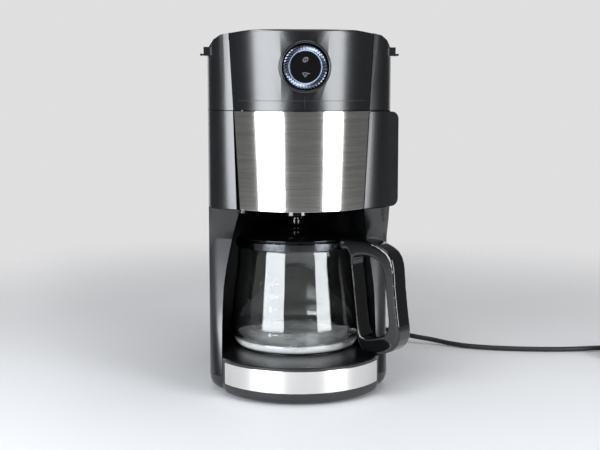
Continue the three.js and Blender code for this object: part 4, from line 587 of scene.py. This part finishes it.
def clear(name, color, roughness, ior, specular=0.5):
    """Glass or clear plastic with a faint uneven film."""
    made, tree, shader = new_material(name)
    film = noise_field(tree, FILM_SCALE, detail=4.0)
    set_up(tree, shader, Specular_IOR_Level=specular, Transmission_Weight=1, IOR=ior,
           Base_Color=ramp(tree, film, color, scaled(color, FILM_TONE)),
           Roughness=spread(tree, film, roughness * FILM_GLOSS, roughness))
    return made


# Painted light: below these heights in metres the foot of the glass is partly opaque, so its pale base colour
# shows as a painted glow standing in for caustics and reflections. It turns clear between these heights,
# which the swirl shifts down a little
FOOT_LOW = 0.0525
FOOT_HIGH = 0.0585
FOOT_CLEARNESS = 0.35
SWIRL_SCALE = 60.0
SWIRL_STRETCH = (1, 1, 6)
SWIRL_LIFT = 0.008


def thick_foot(made):
    """Paints a glow of caustics and reflections into the thick foot of the glass by letting its pale base
    colour show: it is clear from the upper height on.
    """
    tree = made.node_tree
    place = node(tree, "ShaderNodeTexCoord").outputs["Object"]
    height = node(tree, "ShaderNodeSeparateXYZ", {0: place}).outputs["Z"]
    swirl = noise_field(tree, SWIRL_SCALE, SWIRL_STRETCH, detail=4.0)
    lift = node(tree, "ShaderNodeMath", {0: swirl, 1: SWIRL_LIFT, 2: height}, operation="MULTIPLY_ADD")
    clearness = node(tree, "ShaderNodeMapRange", {"Value": lift.outputs["Value"], "From Min": FOOT_LOW,
                                                  "From Max": FOOT_HIGH, "To Min": FOOT_CLEARNESS,
                                                  "To Max": 1.0},
                     interpolation_type="SMOOTHSTEP")
    # Painted glow: less transmission low in the foot lets the pale base colour show
    set_up(tree, tree.nodes["Principled BSDF"], Transmission_Weight=clearness.outputs["Result"])


LAMP_CELLS = 900.0
DIM_CELL_SHARES = (0.75, 0.6)
LAMP_ROUGHNESS = 0.2


def glowing(name, color, strength):
    """A light guide with fine cells of uneven brightness."""
    made, tree, shader = new_material(name)
    cells = noise_field(tree, LAMP_CELLS)
    base, glow = (ramp(tree, cells, scaled(color, share), color) for share in DIM_CELL_SHARES)
    set_up(tree, shader, Base_Color=base, Emission_Color=glow, Emission_Strength=strength,
           Roughness=LAMP_ROUGHNESS)
    return made


DEEP_BLACK = (0.002, 0.002, 0.0024)
materials = {
    "black_housing": plastic("housing_black", (0.0035, 0.0041, 0.0052), 0.25, grain=0.04, specular=0.85),
    "gloss_black": plastic("gloss_black", DEEP_BLACK, 0.07, grain=0, coat=0.5),
    "brushed_steel": brushed("brushed_steel", (0.9, 0.865, 0.8), 0.17, streak=0.16),
    "bright_steel": metal("bright_steel", (0.72, 0.73, 0.75), 0.08),
    "pin_steel": metal("pin_steel", (0.6, 0.6, 0.6), 0.25),
    "heater_metal": metal("heater_metal", (0.5, 0.5, 0.48), 0.45),
    "motor_metal": metal("motor_metal", (0.35, 0.35, 0.36), 0.35),
    "burr_steel": metal("burr_steel", (0.4, 0.4, 0.41), 0.3),
    "brass_gear": metal("brass_gear", (0.72, 0.55, 0.27), 0.25),
    "warming_plate": plastic("plate_coat", (0.006, 0.006, 0.007), 0.3, grain=0.08, grain_scale=2600.0,
                             specular=0.3),
    "carafe_glass": clear("carafe_glass", (0.975, 0.99, 0.985), 0.006, 1.5, specular=0.65),
    "smoked_plastic": clear("smoked_plastic", (0.45, 0.48, 0.5), 0.12, 1.45),
    "circuit_board": plastic("circuit_board", (0.02, 0.13, 0.05), 0.4),
    "ring_light": glowing("ring_light", (0.55, 0.7, 1.0), 0.14),
    "silicone": plastic("silicone", (0.6, 0.6, 0.57), 0.5),
    "black_rubber": plastic("black_rubber", (0.012, 0.012, 0.013), 0.5, grain=0.15, grain_scale=900.0),
    "rubber_feet": plastic("rubber_feet", (0.02, 0.02, 0.02), 0.6, grain=0.15),
}
# Painted glow of caustics and reflections in the foot of the carafe glass
thick_foot(materials["carafe_glass"])
knurl_steel = metal("knurl_steel", (0.13, 0.15, 0.19), 0.14, wear=0.35)
white_ink = plastic("white_ink", (0.8, 0.82, 0.84), 0.45, mottle=0.05)
sign_ink = plastic("sign_ink", (0.3, 0.33, 0.38), 0.45, mottle=0.1)
# Grey of the painted shade along the panel's crease and the painted highlight on its upright groove
painted_shade_and_highlight_lines = plastic("painted_shade_and_highlight_lines", (0.02, 0.022, 0.027), 0.45)

# Pieces whose finish differs from the others of their slot
own_finish = {
    "base_trim_band": brushed("trim_steel", (0.9, 0.885, 0.86), 0.2, streak=0.05),
    "dial_bezel": plastic("bezel_black", (0.006, 0.0065, 0.008), 0.26, grain=0.03, specular=1.0),
    "cavity_liner": plastic("liner_black", DEEP_BLACK, 0.3, grain=0.05, specular=0.2),
    "carafe_collar": metal("collar_steel", (0.16, 0.17, 0.18), 0.1),
}
slots = {row["node"]: row["material_slot"] for row in frame["record"]["subparts"]}

# Edge rounding in millimetres: for most pieces, and for those that differ
EDGE_WIDTH = 0.45
OWN_EDGE = {
    "carafe_glass": 0.0,
    "dial_bezel": 1.2,
    "door_grip": 0.8,
    "hopper_lid": 0.6,
    "rotary_dial": 0.0,
    "cord_tie": 0.3,
    "drip_spring": 0.0,
}
EDGE_ANGLE = 30
EDGE_SEGMENTS = 3
WELD_DISTANCE = 0.02
FLAT_ANGLE = 0.5
# Pieces that are round all over: the size of their new facets in millimetres and the smoothing passes
ROUNDED = {"carafe_handle": (0.9, 14)}
SMOOTHING = 0.5
# Pieces whose flat faces are pierced keep their facets: merged faces would close over the holes
PIERCED = {"rear_cover", "base_bottom_plate", "shower_head", "tank_seat"}


def round_over(piece, facet, passes):
    remesh = piece.modifiers.new("skin", "REMESH")
    remesh.mode = "VOXEL"
    remesh.voxel_size = facet * MM
    remesh.use_smooth_shade = True
    relax = piece.modifiers.new("relax", "SMOOTH")
    relax.factor = SMOOTHING
    relax.iterations = passes


def round_edges(piece, width):
    bevel = piece.modifiers.new("edges", "BEVEL")
    bevel.width = width * MM
    bevel.segments = EDGE_SEGMENTS
    bevel.limit_method = "ANGLE"
    bevel.angle_limit = math.radians(EDGE_ANGLE)
    bevel.use_clamp_overlap = True
    bevel.miter_outer = "MITER_ARC"
    bevel.harden_normals = True


def dress(name, made):
    """Gives a CAD node its material, round edges and smooth shading through modifiers."""
    piece = nodes[name]
    piece.data.materials.clear()
    piece.data.materials.append(made)
    if piece.data.attributes.get("custom_normal"):
        piece.data.attributes.remove(piece.data.attributes["custom_normal"])
    piece.data.polygons.foreach_set("use_smooth", [True] * len(piece.data.polygons))
    weld = piece.modifiers.new("weld", "WELD")
    weld.merge_threshold = WELD_DISTANCE * MM
    if name not in PIERCED:
        flat = piece.modifiers.new("flat", "DECIMATE")
        flat.decimate_type = "DISSOLVE"
        flat.angle_limit = math.radians(FLAT_ANGLE)
    width = OWN_EDGE.get(name, EDGE_WIDTH)
    if name in ROUNDED:
        round_over(piece, *ROUNDED[name])
    elif width:
        round_edges(piece, width)


for name in nodes:
    dress(name, own_finish.get(name) or materials[slots[name]])
cord.data.materials.append(materials["black_rubber"])
glass.data.materials.append(materials["carafe_glass"])
knurl.data.materials.append(knurl_steel)
icons.data.materials.append(sign_ink)
# The panel's painted crease shade and groove highlight
panel_lines.data.materials.append(painted_shade_and_highlight_lines)
cup_scale.data.materials.append(white_ink)

# Floor: a pale disc that fades into the background
FLOOR_RADIUS = 1.35
FLOOR_SIDES = 96
FLOOR_DROP = 0.0001
FLOOR_COLOR = (0.83, 0.835, 0.85, 1)
FLOOR_ROUGHNESS = 0.55
FLOOR_SPECULAR = 0.3
FADE_START = 0.45
FADE_END = 1.3


def add_floor():
    rim = []
    for k in range(FLOOR_SIDES):
        angle = 2 * math.pi * k / FLOOR_SIDES
        rim.append((FLOOR_RADIUS * math.cos(angle), FLOOR_RADIUS * math.sin(angle), -FLOOR_DROP))
    floor = mesh_piece("floor", rim, [range(FLOOR_SIDES)])
    made, tree, shader = new_material("floor")
    set_up(tree, shader, Roughness=FLOOR_ROUGHNESS, Base_Color=FLOOR_COLOR, Specular_IOR_Level=FLOOR_SPECULAR)
    place = node(tree, "ShaderNodeTexCoord").outputs["Object"]
    distance = node(tree, "ShaderNodeVectorMath", {0: place}, operation="LENGTH").outputs["Value"]
    fade = node(tree, "ShaderNodeMapRange", {"Value": distance, "From Min": FADE_START, "From Max": FADE_END,
                                             "To Min": 0.0, "To Max": 1.0}, interpolation_type="SMOOTHSTEP")
    see_through = node(tree, "ShaderNodeBsdfTransparent")
    mixed = node(tree, "ShaderNodeMixShader", {0: fade.outputs["Result"], 1: shader.outputs["BSDF"],
                                               2: see_through.outputs["BSDF"]})
    tree.links.new(mixed.outputs["Shader"], tree.nodes["Material Output"].inputs["Surface"])
    floor.data.materials.append(made)


add_floor()

# World: an even studio room, and a pale background behind the piece
ROOM_COLOR = (0.95, 0.97, 1.0, 1)
ROOM_STRENGTH = 0.12
BACKGROUND_COLOR = (0.74, 0.74, 0.7474, 1)


def add_world():
    world = bpy.data.worlds.new("studio")
    bpy.context.scene.world = world
    world.use_nodes = True
    tree = world.node_tree
    rays = node(tree, "ShaderNodeLightPath")
    straight, through = rays.outputs["Is Camera Ray"], rays.outputs["Is Transmission Ray"]
    seen = node(tree, "ShaderNodeMath", {0: straight, 1: through}, operation="MAXIMUM")
    room = node(tree, "ShaderNodeBackground", {"Color": ROOM_COLOR, "Strength": ROOM_STRENGTH})
    background = node(tree, "ShaderNodeBackground", {"Color": BACKGROUND_COLOR, "Strength": 1.0})
    mixed = node(tree, "ShaderNodeMixShader", {0: seen.outputs["Value"], 1: room.outputs["Background"],
                                               2: background.outputs["Background"]})
    tree.links.new(mixed.outputs["Shader"], tree.nodes["World Output"].inputs["Surface"])


add_world()

# Soft lamps, all aimed at a point near the machine's middle. Azimuth 0 is straight in front of it and
# 90 on the viewer's right; distance, height and size are in metres, power in watts
LAMP_TARGET = (0, -30, 220)
WHITE = (1, 1, 1)
LAMPS = [
    {"name": "left_box", "azimuth": -46, "distance": 1.25, "height": 0.36, "size": (0.91, 0.7), "power": 21,
     "color": (0.92, 0.96, 1.0)},
    {"name": "right_box", "azimuth": 46.5, "distance": 1.25, "height": 0.36, "size": (0.6, 0.7), "power": 13,
     "color": (0.94, 0.97, 1.0)},
    {"name": "top_box", "azimuth": 10, "distance": 0.25, "height": 1.7, "size": (1.2, 1.0), "power": 11},
    {"name": "rear_left", "azimuth": -150, "distance": 1.5, "height": 0.45, "size": (0.7, 0.9), "power": 3.2},
    {"name": "rear_right", "azimuth": 150, "distance": 1.5, "height": 0.45, "size": (0.7, 0.9), "power": 2},
]


def softbox(name, azimuth, distance, height, size, power, color=WHITE):
    lamp = bpy.data.lights.new(name, "AREA")
    lamp.shape = "RECTANGLE"
    lamp.size, lamp.size_y = size
    lamp.energy = power
    lamp.color = color
    box = link(name, lamp)
    angle = math.radians(azimuth)
    aim = at(*LAMP_TARGET)
    box.location = (aim.x + distance * math.sin(angle), aim.y - distance * math.cos(angle), height)
    box.rotation_euler = (aim - box.location).to_track_quat("-Z", "Y").to_euler()
    box.visible_camera = False


for lamp in LAMPS:
    softbox(**lamp)

bpy.context.scene.view_settings.view_transform = "Standard"

bpy.context.view_layer.update()
